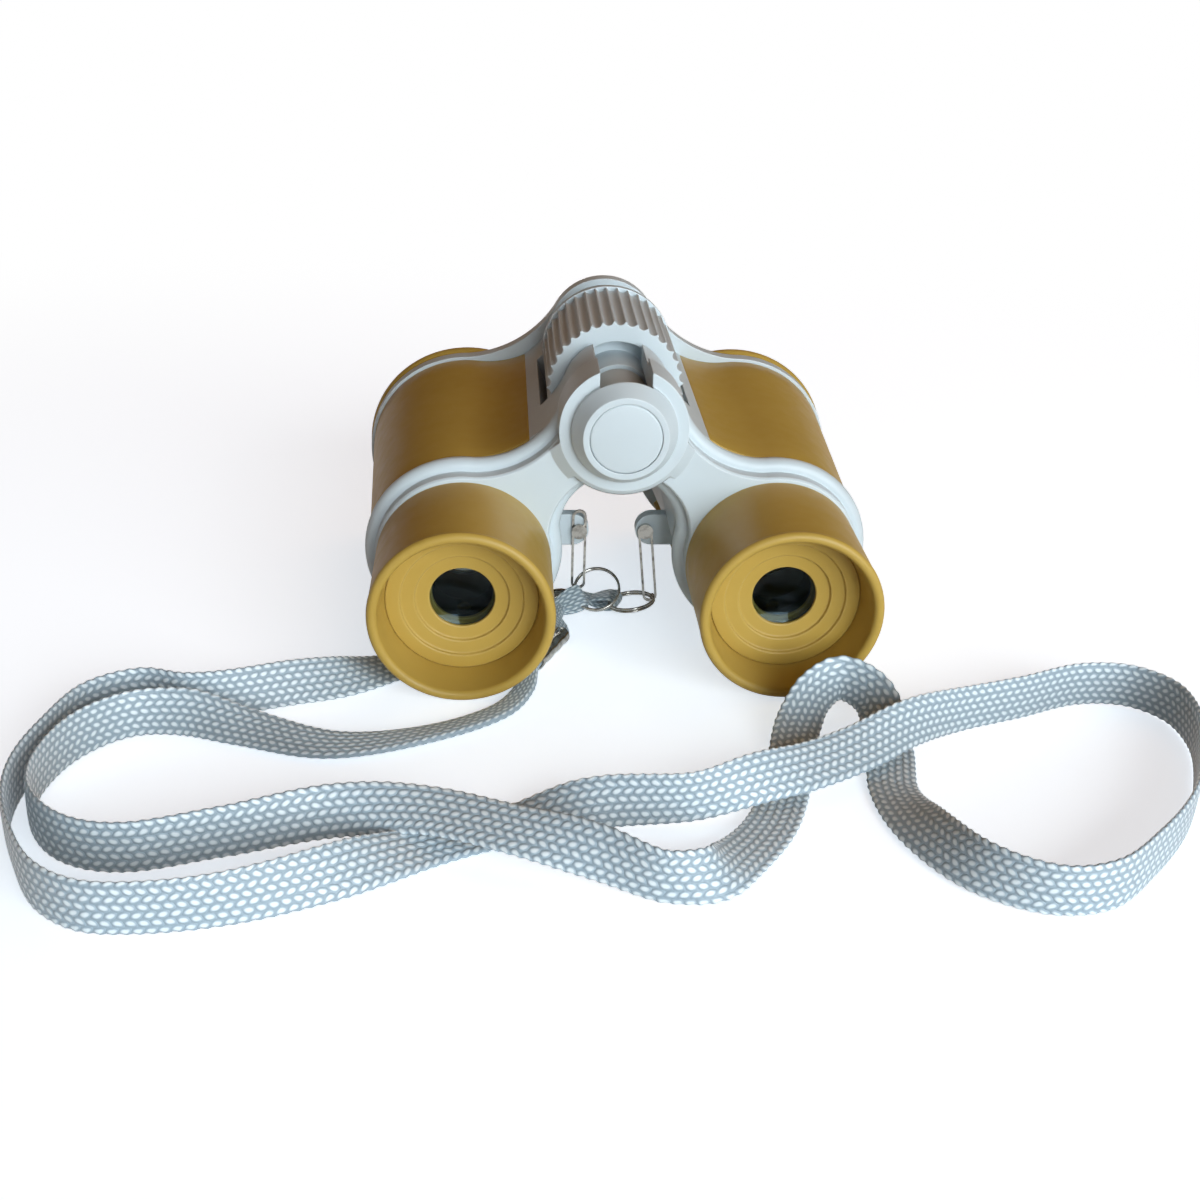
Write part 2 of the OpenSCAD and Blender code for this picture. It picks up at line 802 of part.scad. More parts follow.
// Eyecup: flank, rounded lip, tapered hollow and the shelf for the glass
module eyecup(side) {
    color(tan)
        lie()
            barrel(side)
                difference() {
                    union() {
                        rod(flank_r, lip_round, y_rear);
                        rotate_extrude()
                            translate([lip_centre_r, lip_round])
                                circle(lip_round);
                    }
                    rod(lip_centre_r - lip_round, -overrun, lip_round);
                    translate([0, 0, lip_round])
                        cylinder(r1 = lip_centre_r - lip_round, r2 = floor_r, h = cup_depth - lip_round);
                    rod(floor_r, cup_depth - crease, ring_back);
                    rod(ocular_d / 2 + ocular_rim + fit_gap, cup_depth, ring_back + ocular_edge);
                    rod(ocular_d / 2, cup_depth, shelf_end + overrun);
                    rod(grip_r, shelf_end, y_rear + overrun);
                }
}

module left_eyecup() { eyecup(-1); }

module right_eyecup() { eyecup(1); }

// Stepped ring that holds the glass against the shelf
module ocular_ring(side) {
    ring_r = floor_r - fit_gap;
    step_w = (ring_r - ocular_d / 2) / ring_steps;
    color(tan)
        lie()
            barrel(side)
                difference() {
                    pipe(ring_r, ocular_d / 2, cup_depth, ring_back);
                    for (i = [1 : ring_steps - 1])
                        rod(ring_r - i * step_w, cup_depth - overrun, cup_depth + i * ring_step);
                }
}

module left_ocular_ring() { ocular_ring(-1); }

module right_ocular_ring() { ocular_ring(1); }

// Radius of the ball that rises by sag over a face of radius r
function ball_r(r, sag) = (r * r + sag * sag) / (2 * sag);
lens_fn = 720;

// Flat on the eye's side and hollow on the other
module ocular_lens(side) {
    ball = ball_r(ocular_d / 2, ocular_sag);
    color(glass, 0.6)
        lie()
            barrel(side)
                rotate_extrude()
                    difference() {
                        translate([0, ring_back])
                            square([ocular_d / 2 + ocular_rim, ocular_edge]);
                        translate([0, ring_back + ocular_edge + ball - ocular_sag])
                            circle(ball, $fn = lens_fn);
                    }
}

module left_ocular_lens() { ocular_lens(-1); }

module right_ocular_lens() { ocular_lens(1); }

// Hood: a full round ring over the collar of the front plate
module objective_hood(side) {
    color(tan)
        lie()
            barrel(side)
                difference() {
                    union() {
                        rod(hood_centre_r, y_hood, y_hood + hood_len);
                        rotate_extrude()
                            translate([hood_centre_r, y_hood + hood_round])
                                circle(hood_round);
                    }
                    rod(hood_seat_r + fit_gap, y_hood - overrun, y_hood + hood_seat_len);
                    rod(hood_bore_r, y_hood, y_hood + hood_len + overrun);
                }
}

module left_objective_hood() { objective_hood(-1); }

module right_objective_hood() { objective_hood(1); }

// Sliding cell, its biconvex glass and the ring that keeps the glass in
y_glass = y_cell + cell_len - keeper_t - objective_edge - cell_seat;

module objective_cell(side) {
    color(grey)
        lie()
            barrel(side)
                difference() {
                    rod(cell_r, y_cell, y_cell + cell_len);
                    rod(objective_d / 2 - cell_seat, y_cell - overrun, y_glass + overrun);
                    rod(objective_d / 2 + fit_gap, y_glass, y_cell + cell_len + overrun);
                }
}

module left_objective_cell() { objective_cell(-1); }

module right_objective_cell() { objective_cell(1); }

module objective_lens(side) {
    clear_r = objective_d / 2 - cell_seat;
    ball = ball_r(clear_r, objective_sag);
    crown = ball - objective_sag;
    color(glass, 0.6)
        lie()
            barrel(side)
                rotate_extrude() {
                    translate([0, y_glass])
                        square([objective_d / 2, objective_edge]);
                    intersection() {
                        translate([0, y_glass - objective_sag])
                            square([clear_r, objective_edge + 2 * objective_sag]);
                        translate([0, y_glass + crown])
                            circle(ball, $fn = lens_fn);
                        translate([0, y_glass + objective_edge - crown])
                            circle(ball, $fn = lens_fn);
                    }
                }
}

module left_objective_lens() { objective_lens(-1); }

module right_objective_lens() { objective_lens(1); }

module lens_keeper(side) {
    color(grey)
        lie()
            barrel(side)
                pipe(objective_d / 2, objective_d / 2 - cell_seat,
                    y_glass + objective_edge, y_glass + objective_edge + keeper_t);
}

module left_lens_keeper() { lens_keeper(-1); }

module right_lens_keeper() { lens_keeper(1); }

// Focus wheel: round-bottomed grooves leave narrow ribs, with a recessed face and a hub tube
module wheel_outline() {
    pitch = 2 * PI * wheel_r / wheel_ribs;
    half_groove = (pitch - rib_tip) / 2;
    groove_r = (half_groove * half_groove + rib_depth * rib_depth) / (2 * rib_depth);
    difference() {
        circle(wheel_r);
        for (i = [0 : wheel_ribs - 1])
            rotate(turn * i / wheel_ribs)
                translate([wheel_r - rib_depth + groove_r, 0])
                    circle(groove_r, $fn = 24);
    }
}

module focus_wheel() {
    color(grey)
        lie()
            hub()
                difference() {
                    union() {
                        difference() {
                            translate([0, 0, y_wheel])
                                linear_extrude(wheel_run)
                                    wheel_outline();
                            rod(wheel_r - wheel_ring_w, y_wheel - overrun, y_wheel + wheel_recess);
                        }
                        rod(wheel_flange_r, y_wheel_end - wheel_flange_t, y_wheel_end);
                        rod(tube_d / 2, y_wheel - tube_len, y_wheel + wheel_recess);
                    }
                    rod(arbor_d / 2 + fit_gap, y_wheel - tube_len - overrun, y_wheel_end + overrun);
                }
}

// Focus screw: journal in the boss, arbor in the wheel and thread in the nut
y_screw = y_boss + cap_t + clear_gap;

module focus_screw() {
    color(steel)
        lie()
            hub() {
                rod(journal_d / 2, y_screw, y_wheel - tube_len);
                rod(arbor_d / 2, y_wheel - tube_len, y_nut_room - run_gap);
                rod(thread_d / 2, y_nut_room - run_gap, y_front - clear_gap);
            }
}

// Nut with an arm to each lens cell
module focus_carriage() {
    color(grey)
        lie()
            difference() {
                union() {
                    hub()
                        rod(nut_d / 2, y_nut, y_nut + nut_len);
                    for (side = [-1, 1])
                        difference() {
                            slab(y_nut, y_nut + nut_len)
                                arm_bar(side, arm_w);
                            barrel(side)
                                rod(cell_r + fit_gap, y_nut - overrun, y_nut + nut_len + overrun);
                        }
                }
                hub()
                    rod(thread_d / 2 + run_gap, y_nut - overrun, y_nut + nut_len + overrun);
            }
}

module friction_washer() {
    color("black")
        lie()
            hub()
                pipe(washer_d / 2, arbor_d / 2 + fit_gap, y_wheel_end + wheel_float,
                    y_wheel_end + wheel_float + washer_t);
}

module hub_cap() {
    color(grey)
        lie()
            hub()
                rod(cap_d / 2, y_boss, y_boss + cap_t);
}

module front_hub_cap() {
    color(grey)
        lie()
            hub() {
                rod(front_cap_d / 2, y_hood, y_hood + front_cap_t);
                rod(front_plug_d / 2, y_hood - front_plug_len, y_hood);
            }
}

// Screws: three from each eyecup into a tube, and three from the front hub into the saddle
module assembly_screws() {
    color(steel)
        lie() {
            for (side = [-1, 1])
                barrel(side)
                    around(3, rear_screw_r, turn / 4) {
                        rod(screw_head_d / 2, y_rear - screw_head_t, y_rear);
                        rod(screw_d / 2, y_rear, y_saddle + flange_t);
                    }
            hub()
                around(3, front_screw_r, turn / 4) {
                    rod(screw_head_d / 2, y_hood - screw_head_t, y_hood);
                    rod(screw_d / 2, y_front - front_screw_len, y_hood - screw_head_t);
                }
        }
}

// Strap hardware: a slotted link rides on a rivet in each lug and carries a split ring
link_back = -lug_t / 2 - fit_gap;
link_front = link_back - link_t;

module strap_rivets() {
    color(steel)
        lie()
            for (side = [-1, 1])
                rivet_place(side) {
                    rod(rivet_d / 2, link_front - fit_gap, lug_t / 2 + fit_gap);
                    rod(rivet_head_d / 2, link_front - fit_gap - rivet_head_t, link_front - fit_gap);
                    rod(rivet_head_d / 2, lug_t / 2 + fit_gap, lug_t / 2 + fit_gap + rivet_head_t);
                }
}

// Slope of each link, and how far its slot reaches above the rivet
left_link_slope = 0;
right_link_slope = 6;
left_link_rise = 4.1;
right_link_rise = 0.95;

module obround(len, r) {
    circle(r);
    translate([0, len])
        circle(r);
    translate([-r, 0])
        square([2 * r, len]);
}

module strap_link(side, slope, rise) {
    slot_run = link_slot_len - link_slot_w;
    color(steel)
        lie()
            rivet_place(side)
                translate([0, 0, link_front])
                    rotate([0, 0, -slope])
                        translate([0, link_slot_w / 2 - rise])
                            linear_extrude(link_t)
                                difference() {
                                    obround(slot_run, link_slot_w / 2 + link_rim);
                                    obround(slot_run, link_slot_w / 2);
                                }
}

module left_strap_link() { strap_link(-1, left_link_slope, left_link_rise); }

module right_strap_link() { strap_link(1, right_link_slope, right_link_rise); }

// Split rings: the left one leans on its link, the right one lies on the braid's fold
ring_wire_r = split_ring_d / 2 - split_ring_wire / 2;
left_ring_at = [-3, -6, 5.9];
left_ring_lean = [45, 0, -12];
left_fold_angle = 212;
right_ring_at = [4.4, -5.8, 3];
right_ring_lean = [0, -8, 0];
right_fold_angle = 155;
fold_gap = 0.3;
fold_inner_r = split_ring_wire / 2 + fold_gap;
fold_outer_r = fold_inner_r + strap_t;

module split_ring(place, lean) {
    color(steel)
        translate(place)
            rotate(lean)
                rotate_extrude()
                    translate([ring_wire_r, 0])
                        circle(d = split_ring_wire, $fn = 32);
}

module left_split_ring() { split_ring(left_ring_at, left_ring_lean); }

module right_split_ring() { split_ring(right_ring_at, right_ring_lean); }

// Braid folded round the wire of a split ring
module strap_fold(place, lean, angle) {
    translate(place)
        rotate(lean)
            rotate([0, 0, angle])
                translate([ring_wire_r, -fold_w / 2, 0])
                    rotate([-90, -90, 0])
                        linear_extrude(fold_w)
                            difference() {
                                translate([0, -ring_bow])
                                    obround(fold_len + ring_bow, fold_outer_r);
                                translate([0, -ring_bow])
                                    obround(fold_len + ring_bow - strap_t, fold_inner_r);
                            }
}
// Bow of the wire across the width of the fold
ring_bow = ring_wire_r - sqrt(ring_wire_r * ring_wire_r - fold_w * fold_w / 4);

// Route of the braid on the table: x, y, height of its lower edge, bank of its width
// (0 and 180 lie flat, 90 stands on edge) and spread (0 gathered, 1 flat)
route = [
    [-11, -7.7, 1.75, 180, 0.2], [-12, -13, 1.5, 180, 0.1], [-10.6, -19, 0.9, 180, 0],
    [-16.6, -32, 0.9, 180, 0], [-18.6, -41, 0.3, 180, 0.2], [-23, -49, 0, 180, 0.3], [-35, -57, 0, 178, 0.4],
    [-52, -62, 0, 160, 0.6], [-68, -57, 0, 140, 0.8], [-78, -54, 0, 115, 1], [-87, -55, 0, 100, 1],
    [-94, -62, 0, 95, 1], [-97, -73, 0, 90, 1], [-96, -83, 0, 88, 1], [-91, -91, 0, 85, 1],
    [-85, -95, 0, 85, 1], [-78, -96, 0, 85, 1], [-64, -92, 0, 80, 1], [-49, -88, 1, 60, 1],
    [-34, -90, 3.4, 30, 1], [-20, -96, 3.4, 30, 1], [-9, -101, 1.5, 60, 1], [1, -106, 0, 80, 1],
    [8, -105, 0, 60, 1], [13, -98, 0, 20, 1], [20, -87, 0, 4, 1], [26, -70, 0, 4, 1],
    [30, -57, 0, 25, 1], [34, -51, 1.5, 55, 1], [39, -48.5, 2.5, 75, 1], [44, -52, 1.5, 55, 1],
    [45, -62, 0, 4, 1], [42, -78, 0, 3, 1], [43, -93, 0, 40, 1], [48, -105, 0, 70, 1],
    [57, -111, 0, 85, 1], [66, -110, 0, 85, 1], [76, -102, 0, 88, 1], [86, -91, 0, 90, 1],
    [93, -79, 0, 90, 1], [99, -64, 0, 92, 1], [99, -54, 0, 95, 1], [94, -48, 0, 95, 1],
    [85, -47, 0, 95, 1], [72, -52, 0, 95, 1], [59, -57, 0.3, 100, 1], [48, -64, 2, 120, 1],
    [38, -71, 2.3, 140, 1], [28, -77, 2.3, 140, 1], [18, -82, 2.1, 120, 1], [8, -85, 0.5, 100, 1],
    [-7, -85, 0, 120, 1], [-20, -87, 0, 165, 1], [-34, -93, 0, 165, 1], [-48, -103, 0, 120, 1],
    [-61, -109, 0, 100, 1], [-74, -111, 0, 95, 1], [-82, -110, 0, 95, 1], [-89, -105, 0, 93, 1],
    [-95, -95, 0, 90, 1], [-99, -85, 0, 90, 1], [-100.2, -75, 0, 88, 1], [-98.8, -64, 0, 85, 1],
    [-95, -51, 0, 85, 1], [-87, -46, 0, 80, 1], [-79, -48, 0, 80, 1], [-71, -47, 0, 75, 1],
    [-61, -43, 0, 60, 1], [-52, -39, 0, 40, 1], [-45, -33, 0, 15, 1], [-38, -27, 0, 4, 1],
    [-30, -25, 0, 0, 1], [-23, -21, 0, 0, 0.9], [-20, -13, 0, 0, 0.5], [-19.6, -6, 0.4, 0, 0.2],
    [-17, -1.8, 0.9, 0, 0], [-7, -0.2, 0.9, 0, 0], [-3.2, -2.3, 0.9, 0, 0.2]];
// Route points between which each ferrule grips the braid
left_ferrule_from = 2;
right_ferrule_from = 75;
// The braid turns this far outside a ferrule's end
ferrule_inset = 0.6;

last = len(route) - 1;
function row_w(row) = mix(gather_w, strap_w, row[4]);
function row_t(row) = mix(gather_t, strap_t, row[4]);
function row_place(row) = [row[0], row[1], row[2] + row_w(row) / 2 * abs(sin(row[3])) + row_t(row) / 2 * abs(cos(row[3]))];
function unit(v) = v / norm(v);
function heading(i) = unit(row_place(route[min(i + 1, last)]) - row_place(route[max(i - 1, 0)]));
// Octagon across the braid at a route point
section_shares = [[1, 0.4], [0.85, 1], [-0.85, 1], [-1, 0.4], [-1, -0.4], [-0.85, -1], [0.85, -1], [1, -0.4]];
function strap_ring(i) =
    let (row = route[i], t = heading(i), level = unit([-t[1], t[0], 0]), rise = cross(t, level))
    let (across = cos(row[3]) * level + sin(row[3]) * rise, face = cross(t, across))
    [for (q = section_shares) row_place(row) + row_w(row) / 2 * q[0] * across + row_t(row) / 2 * q[1] * face];

module strap_run() {
    sides = len(section_shares);
    points = [for (i = [0 : last]) for (p = strap_ring(i)) p];
    // Both faces of a twisted stretch bend along the same diagonal, so that it keeps its thickness
    walls = [for (i = [0 : last - 1], j = [0 : sides - 1])
        let (a = i * sides + j, b = i * sides + (j + 1) % sides)
        each j < sides / 2 ? [[a, b + sides, b], [a, a + sides, b + sides]]
            : [[a, a + sides, b], [b, a + sides, b + sides]]];
    caps = [for (j = [1 : sides - 2])
        each [[0, j, j + 1], [last * sides, last * sides + j + 1, last * sides + j]]];
    polyhedron(points, concat(walls, caps));
}

module neck_strap() {
    color(braid) {
        strap_run();
        strap_fold(left_ring_at, left_ring_lean, left_fold_angle);
        strap_fold(right_ring_at, right_ring_lean, right_fold_angle);
    }
}

module strap_ferrule(first) {
    from = row_place(route[first]);
    run = row_place(route[first + 1]) - from;
    color(steel)
        translate(from)
            rotate([0, 90, atan2(run[1], run[0])])
                pipe(ferrule_d / 2, ferrule_d / 2 - ferrule_wall, ferrule_inset, norm(run) - ferrule_inset);
}

module left_strap_ferrule() { strap_ferrule(left_ferrule_from); }

module right_strap_ferrule() { strap_ferrule(right_ferrule_from); }

rear_end_plate();
front_end_plate();
saddle();
left_barrel_tube();
right_barrel_tube();
left_barrel_cover();
right_barrel_cover();
left_eyecup();
right_eyecup();
left_ocular_ring();
right_ocular_ring();
left_ocular_lens();
right_ocular_lens();
left_objective_hood();
right_objective_hood();
left_objective_cell();
right_objective_cell();
left_objective_lens();
right_objective_lens();
left_lens_keeper();
right_lens_keeper();
focus_wheel();
focus_screw();
focus_carriage();
friction_washer();
hub_cap();
front_hub_cap();
assembly_screws();
strap_rivets();
left_strap_link();
right_strap_link();
left_split_ring();
right_split_ring();
left_strap_ferrule();
right_strap_ferrule();
neck_strap();
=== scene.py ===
"""Toy binoculars on a pale table: finishes for the mouldings, the braided strap and its metal fittings."""

import functools
import logging
import math
from collections.abc import Sequence
from dataclasses import dataclass, field
from enum import Enum
from typing import Any

import bmesh
import bpy
from mathutils import Matrix, Vector


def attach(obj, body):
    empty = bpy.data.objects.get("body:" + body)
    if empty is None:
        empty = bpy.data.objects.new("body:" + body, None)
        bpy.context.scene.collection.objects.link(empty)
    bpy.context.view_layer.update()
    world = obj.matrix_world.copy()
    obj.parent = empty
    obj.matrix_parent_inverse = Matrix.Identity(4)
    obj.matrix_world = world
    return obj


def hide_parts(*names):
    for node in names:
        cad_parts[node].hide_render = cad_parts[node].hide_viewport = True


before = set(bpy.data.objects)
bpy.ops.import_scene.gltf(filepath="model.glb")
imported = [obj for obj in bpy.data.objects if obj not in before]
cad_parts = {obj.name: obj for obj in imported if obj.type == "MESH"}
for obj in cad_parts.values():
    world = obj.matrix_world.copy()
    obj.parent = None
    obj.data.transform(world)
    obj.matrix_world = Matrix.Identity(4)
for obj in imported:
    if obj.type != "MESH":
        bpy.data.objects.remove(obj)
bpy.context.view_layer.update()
LOG = logging.getLogger("toy_binoculars")
MM = 0.001
FIXED_BODY = "body"
# Angle from which an edge counts as a corner that the mould rounds
CORNER = math.radians(60)
# Faces round the caps and lenses
FACETS = 96


class Side(Enum):
    """Which half of the binoculars a piece belongs to, as the user holds them."""

    LEFT = -1
    RIGHT = 1

    @property
    def word(self) -> str:
        """Returns the side as it stands in the names of pieces."""
        return self.name.lower()


def both(*names: str) -> tuple[str, ...]:
    """Returns the names of the left and the right piece for each name."""
    return tuple(f"{side.word}_{name}" for name in names for side in Side)


@dataclass(frozen=True)
class Layout:
    """Where the axes of the body run, and how it lies on the table, tipped nose up about X and then moved.

    Attributes:
        axis_x: Distance of each barrel axis from the middle, in millimetres.
        focus_z: Height of the focus axis above the barrel axes.
        bore_rear: Station and radius of the rear end of a barrel's bore.
        bore_front: Station and radius of its front end.
        tilt: Angle of the barrels to the table, in degrees.
        shift: Move after the tilt, in millimetres.
    """

    axis_x: float = 30.0
    focus_z: float = 28.0
    bore_rear: tuple[float, float] = (30.4, 15.4)
    bore_front: tuple[float, float] = (82.2, 19.0)
    tilt: float = 3.635857295530854
    shift: tuple[float, float, float] = (0.0, -45.04083555, 16.90438069)

    def matrix(self) -> Matrix:
        """Returns the matrix from the level body, in millimetres, to the scene."""
        turn = Matrix.Rotation(math.radians(self.tilt), 4, "X")
        return Matrix.Scale(MM, 4) @ Matrix.Translation(self.shift) @ turn

    def barrel(self, side: Side) -> Matrix:
        """Returns the matrix from a barrel's own axis, in millimetres, to the scene."""
        return self.matrix() @ Matrix.Translation((side.value * self.axis_x, 0, 0))


BODY = Layout()


def linear(code: str) -> tuple[float, float, float, float]:
    """Turns an sRGB hex colour into the linear colour that a shader takes.

    Args:
        code: Six hex digits after a hash.

    Returns:
        Linear red, green, blue and an alpha of one.
    """
    parts = [int(code[i : i + 2], 16) / 255 for i in (1, 3, 5)]
    red, green, blue = (p / 12.92 if p <= 0.04045 else ((p + 0.055) / 1.055) ** 2.4 for p in parts)
    return red, green, blue, 1.0


def add(tree: bpy.types.NodeTree, kind: str,
        settings: dict[Any, Any] | None = None) -> bpy.types.NodeOutputs:
    """Adds one node with its settings and links.

    Args:
        tree: The node tree that gets the node.
        kind: Blender's name for the node, without ShaderNode in front.
        settings: Node properties by name, and values or output sockets by the input's name or number.

    Returns:
        The outputs of the new node.
    """
    node = tree.nodes.new("ShaderNode" + kind)
    for key, value in (settings or {}).items():
        if isinstance(value, bpy.types.NodeSocket):
            tree.links.new(value, node.inputs[key])
        elif isinstance(key, str) and hasattr(node, key):
            setattr(node, key, value)
        else:
            node.inputs[key].default_value = value
    return node.outputs


def blank(name: str) -> tuple[bpy.types.Material, bpy.types.NodeTree]:
    """Makes an empty material.

    Args:
        name: The material's name.

    Returns:
        The material and its node tree.
    """
    material = bpy.data.materials.new(name)
    material.use_nodes = True
    material.node_tree.nodes.clear()
    return material, material.node_tree


@dataclass(frozen=True)
class MouldedPlastic:
    """Moulded plastic: a fine even grain, faint flow marks and a painted highlight that makes the rounded
    edges a little paler.

    Attributes:
        name: Material name.
        slot: Name of a material slot; not used.
        colour: Main colour, sRGB hex.
        flow: Second colour, of the flow marks.
        edge: Colour of the painted highlight on the rounded edges.
        roughness: Mean roughness.
        inside_shade: Colour of the painted shade inside a barrel, or none.
        shine: Strength of the reflections, 0.5 for bare plastic.
        ior: Index of refraction, here that of ABS.
        grain_mm: Width of the mould's grain.
        grain_depth_mm: Depth of that grain.
        flow_mm: Width of the flow marks.
        smear_mm: Width of the duller and brighter patches.
        patchy: How far those patches fall below and rise above the mean roughness.
        edge_mm: Radius that the edges are rounded by.
        rub: How far a rounded edge turns before the painted highlight begins, where it is full, and how
            strong it gets.
    """

    name: str
    slot: str
    colour: str
    flow: str
    edge: str
    roughness: float
    inside_shade: str = ""
    shine: float = 0.5
    ior: float = 1.53
    grain_mm: float = 0.35
    grain_depth_mm: float = 0.006
    flow_mm: float = 14.0
    smear_mm: float = 3.0
    patchy: tuple[float, float] = (0.05, 0.06)
    edge_mm: float = 0.35
    rub: tuple[float, float, float] = (0.998, 0.94, 0.8)

    def material(self) -> bpy.types.Material:
        """Builds the material.

        Returns:
            The new material.
        """
        material, tree = blank(self.name)
        place = add(tree, "TexCoord")["Object"]
        flow, smear, grain = (
            add(tree, "TexNoise", {"Vector": place, "Scale": 1 / (width * MM), "Detail": detail})["Fac"]
            for width, detail in ((self.flow_mm, 3.0), (self.smear_mm, 5.0), (self.grain_mm, 2.0)))
        rounded = add(tree, "Bevel", {"samples": 6, "Radius": self.edge_mm * MM})["Normal"]
        flat = add(tree, "NewGeometry")["Normal"]
        # Painted highlight: where the rounded normal turns away from the flat one, the colour is mixed
        # towards the paler edge colour
        meet = add(tree, "VectorMath", {"operation": "DOT_PRODUCT", 0: rounded, 1: flat})["Value"]
        rub = add(tree, "MapRange", {
            "Value": meet, "From Min": self.rub[0], "From Max": self.rub[1],
            "To Max": self.rub[2]})["Result"]
        tone = add(tree, "Mix", {
            "data_type": "RGBA", "Factor": flow, 6: linear(self.colour), 7: linear(self.flow)})[2]
        colour = add(tree, "Mix", {
            "data_type": "RGBA", "Factor": rub, 6: tone, 7: linear(self.edge)})[2]
        if self.inside_shade:
            colour = self.paint_inside_shade(tree, place, colour)
        rough = add(tree, "MapRange", {
            "Value": smear, "From Min": 0.3, "From Max": 0.7, "To Min": self.roughness - self.patchy[0],
            "To Max": self.roughness + self.patchy[1]})["Result"]
        bump = add(tree, "Bump", {
            "Strength": 0.5, "Distance": self.grain_depth_mm * MM, "Height": grain,
            "Normal": rounded})["Normal"]
        shader = add(tree, "BsdfPrincipled", {
            "Base Color": colour, "Roughness": rough, "Normal": bump, "IOR": self.ior,
            "Specular IOR Level": self.shine})["BSDF"]
        add(tree, "OutputMaterial", {"Surface": shader})
        return material

    def paint_inside_shade(self, tree: bpy.types.NodeTree, place: bpy.types.NodeSocket,
              colour: bpy.types.NodeSocket) -> bpy.types.NodeSocket:
        """Paints a near-black shade on the inside of a barrel.

        Args:
            tree: The material's node tree.
            place: Object coordinates.
            colour: Colour of the outside.

        Returns:
            The colour with the painted shade inside.
        """
        moved = add(tree, "VectorMath", {
            "operation": "SUBTRACT", 0: place, 1: [s * MM for s in BODY.shift]})["Vector"]
        level = add(tree, "Mapping", {
            "Vector": moved, "Rotation": (-math.radians(BODY.tilt), 0, 0)})["Vector"]
        axes = add(tree, "SeparateXYZ", {"Vector": level})
        across = add(tree, "Math", {"operation": "ABSOLUTE", 0: axes["X"]})[0]
        off = add(tree, "Math", {"operation": "SUBTRACT", 0: across, 1: BODY.axis_x * MM})[0]
        spoke = add(tree, "CombineXYZ", {"X": off, "Y": axes["Z"]})["Vector"]
        reach = add(tree, "VectorMath", {"operation": "LENGTH", 0: spoke})["Value"]
        wall = add(tree, "MapRange", {
            "Value": axes["Y"], "From Min": BODY.bore_rear[0] * MM, "From Max": BODY.bore_front[0] * MM,
            "To Min": BODY.bore_rear[1] * MM, "To Max": BODY.bore_front[1] * MM})["Result"]
        inside = add(tree, "Math", {"operation": "LESS_THAN", 0: reach, 1: wall})[0]
        # Painted shade: inside the bore of a barrel the colour turns near black
        return add(tree, "Mix", {
            "data_type": "RGBA", "Factor": inside, 6: colour, 7: linear(self.inside_shade)})[2]


@dataclass(frozen=True)
class ClearLens:
    """Coated acrylic, moulded: clear to the lamps, mirroring dimly, with a faint film of finger grease.

    Attributes:
        name: Material name.
        slot: Name of a material slot; not used.
        tint: Colour of the glass, sRGB hex.
        coat: Colour of what the thin coating mirrors.
        ior: Index of refraction of acrylic.
        film_mm: Width of the patches of film.
        film: Roughness of the clean glass and of the film.
    """

    name: str
    slot: str
    tint: str
    coat: str
    ior: float = 1.49
    film_mm: float = 4.0
    film: tuple[float, float] = (0.015, 0.05)

    def material(self) -> bpy.types.Material:
        """Builds the material.

        Returns:
            The new material.
        """
        material, tree = blank(self.name)
        place = add(tree, "TexCoord")["Object"]
        patches = add(tree, "TexNoise", {
            "Vector": place, "Scale": 1 / (self.film_mm * MM), "Detail": 6.0})["Fac"]
        rough = add(tree, "MapRange", {
            "Value": patches, "From Min": 0.45, "From Max": 0.8, "To Min": self.film[0],
            "To Max": self.film[1]})["Result"]
        shader = add(tree, "BsdfPrincipled", {
            "Base Color": linear(self.tint), "Roughness": rough, "IOR": self.ior, "Transmission Weight": 1.0,
            "Specular Tint": linear(self.coat)})["BSDF"]
        clear = add(tree, "BsdfTransparent", {"Color": linear(self.tint)})["BSDF"]
        lamps = add(tree, "LightPath")["Is Shadow Ray"]
        glass = add(tree, "MixShader", {0: lamps, 1: shader, 2: clear})[0]
        add(tree, "OutputMaterial", {"Surface": glass})
        return material


@dataclass(frozen=True)
class PlatedSteel:
    """Nickel-plated steel, barrel tumbled: bright and slightly yellow, with soft wavy gloss and dull spots.

    Attributes:
        name: Material name.
        slot: Name of a material slot; not used.
        colour: Colour of the bright plating, sRGB hex.
        dull: Colour of the dull spots.
        roughness: Mean roughness.
        patchy: How far the roughness falls below and rises above the mean.
        spot_mm: Width of the dull spots.
        wave_mm: Width of the waves that tumbling leaves.
        wave_depth_mm: Depth of those waves.
    """

    name: str
    slot: str
    colour: str
    dull: str
    roughness: float
    patchy: tuple[float, float] = (0.06, 0.12)
    spot_mm: float = 1.2
    wave_mm: float = 0.8
    wave_depth_mm: float = 0.02

    def material(self) -> bpy.types.Material:
        """Builds the material.

        Returns:
            The new material.
        """
        material, tree = blank(self.name)
        place = add(tree, "TexCoord")["Object"]
        spots, waves = (
            add(tree, "TexNoise", {"Vector": place, "Scale": 1 / (width * MM), "Detail": detail})["Fac"]
            for width, detail in ((self.spot_mm, 4.0), (self.wave_mm, 1.0)))
        share = add(tree, "MapRange", {"Value": spots, "From Min": 0.45, "From Max": 0.75})["Result"]
        tone = add(tree, "Mix", {
            "data_type": "RGBA", "Factor": share, 6: linear(self.colour), 7: linear(self.dull)})[2]
        rough = add(tree, "MapRange", {
            "Value": spots, "To Min": self.roughness - self.patchy[0],
            "To Max": self.roughness + self.patchy[1]})["Result"]
        bump = add(tree, "Bump", {
            "Strength": 0.3, "Distance": self.wave_depth_mm * MM, "Height": waves})["Normal"]
        shader = add(tree, "BsdfPrincipled", {
            "Base Color": tone, "Metallic": 1.0, "Roughness": rough, "Normal": bump})["BSDF"]
        add(tree, "OutputMaterial", {"Surface": shader})
        return material


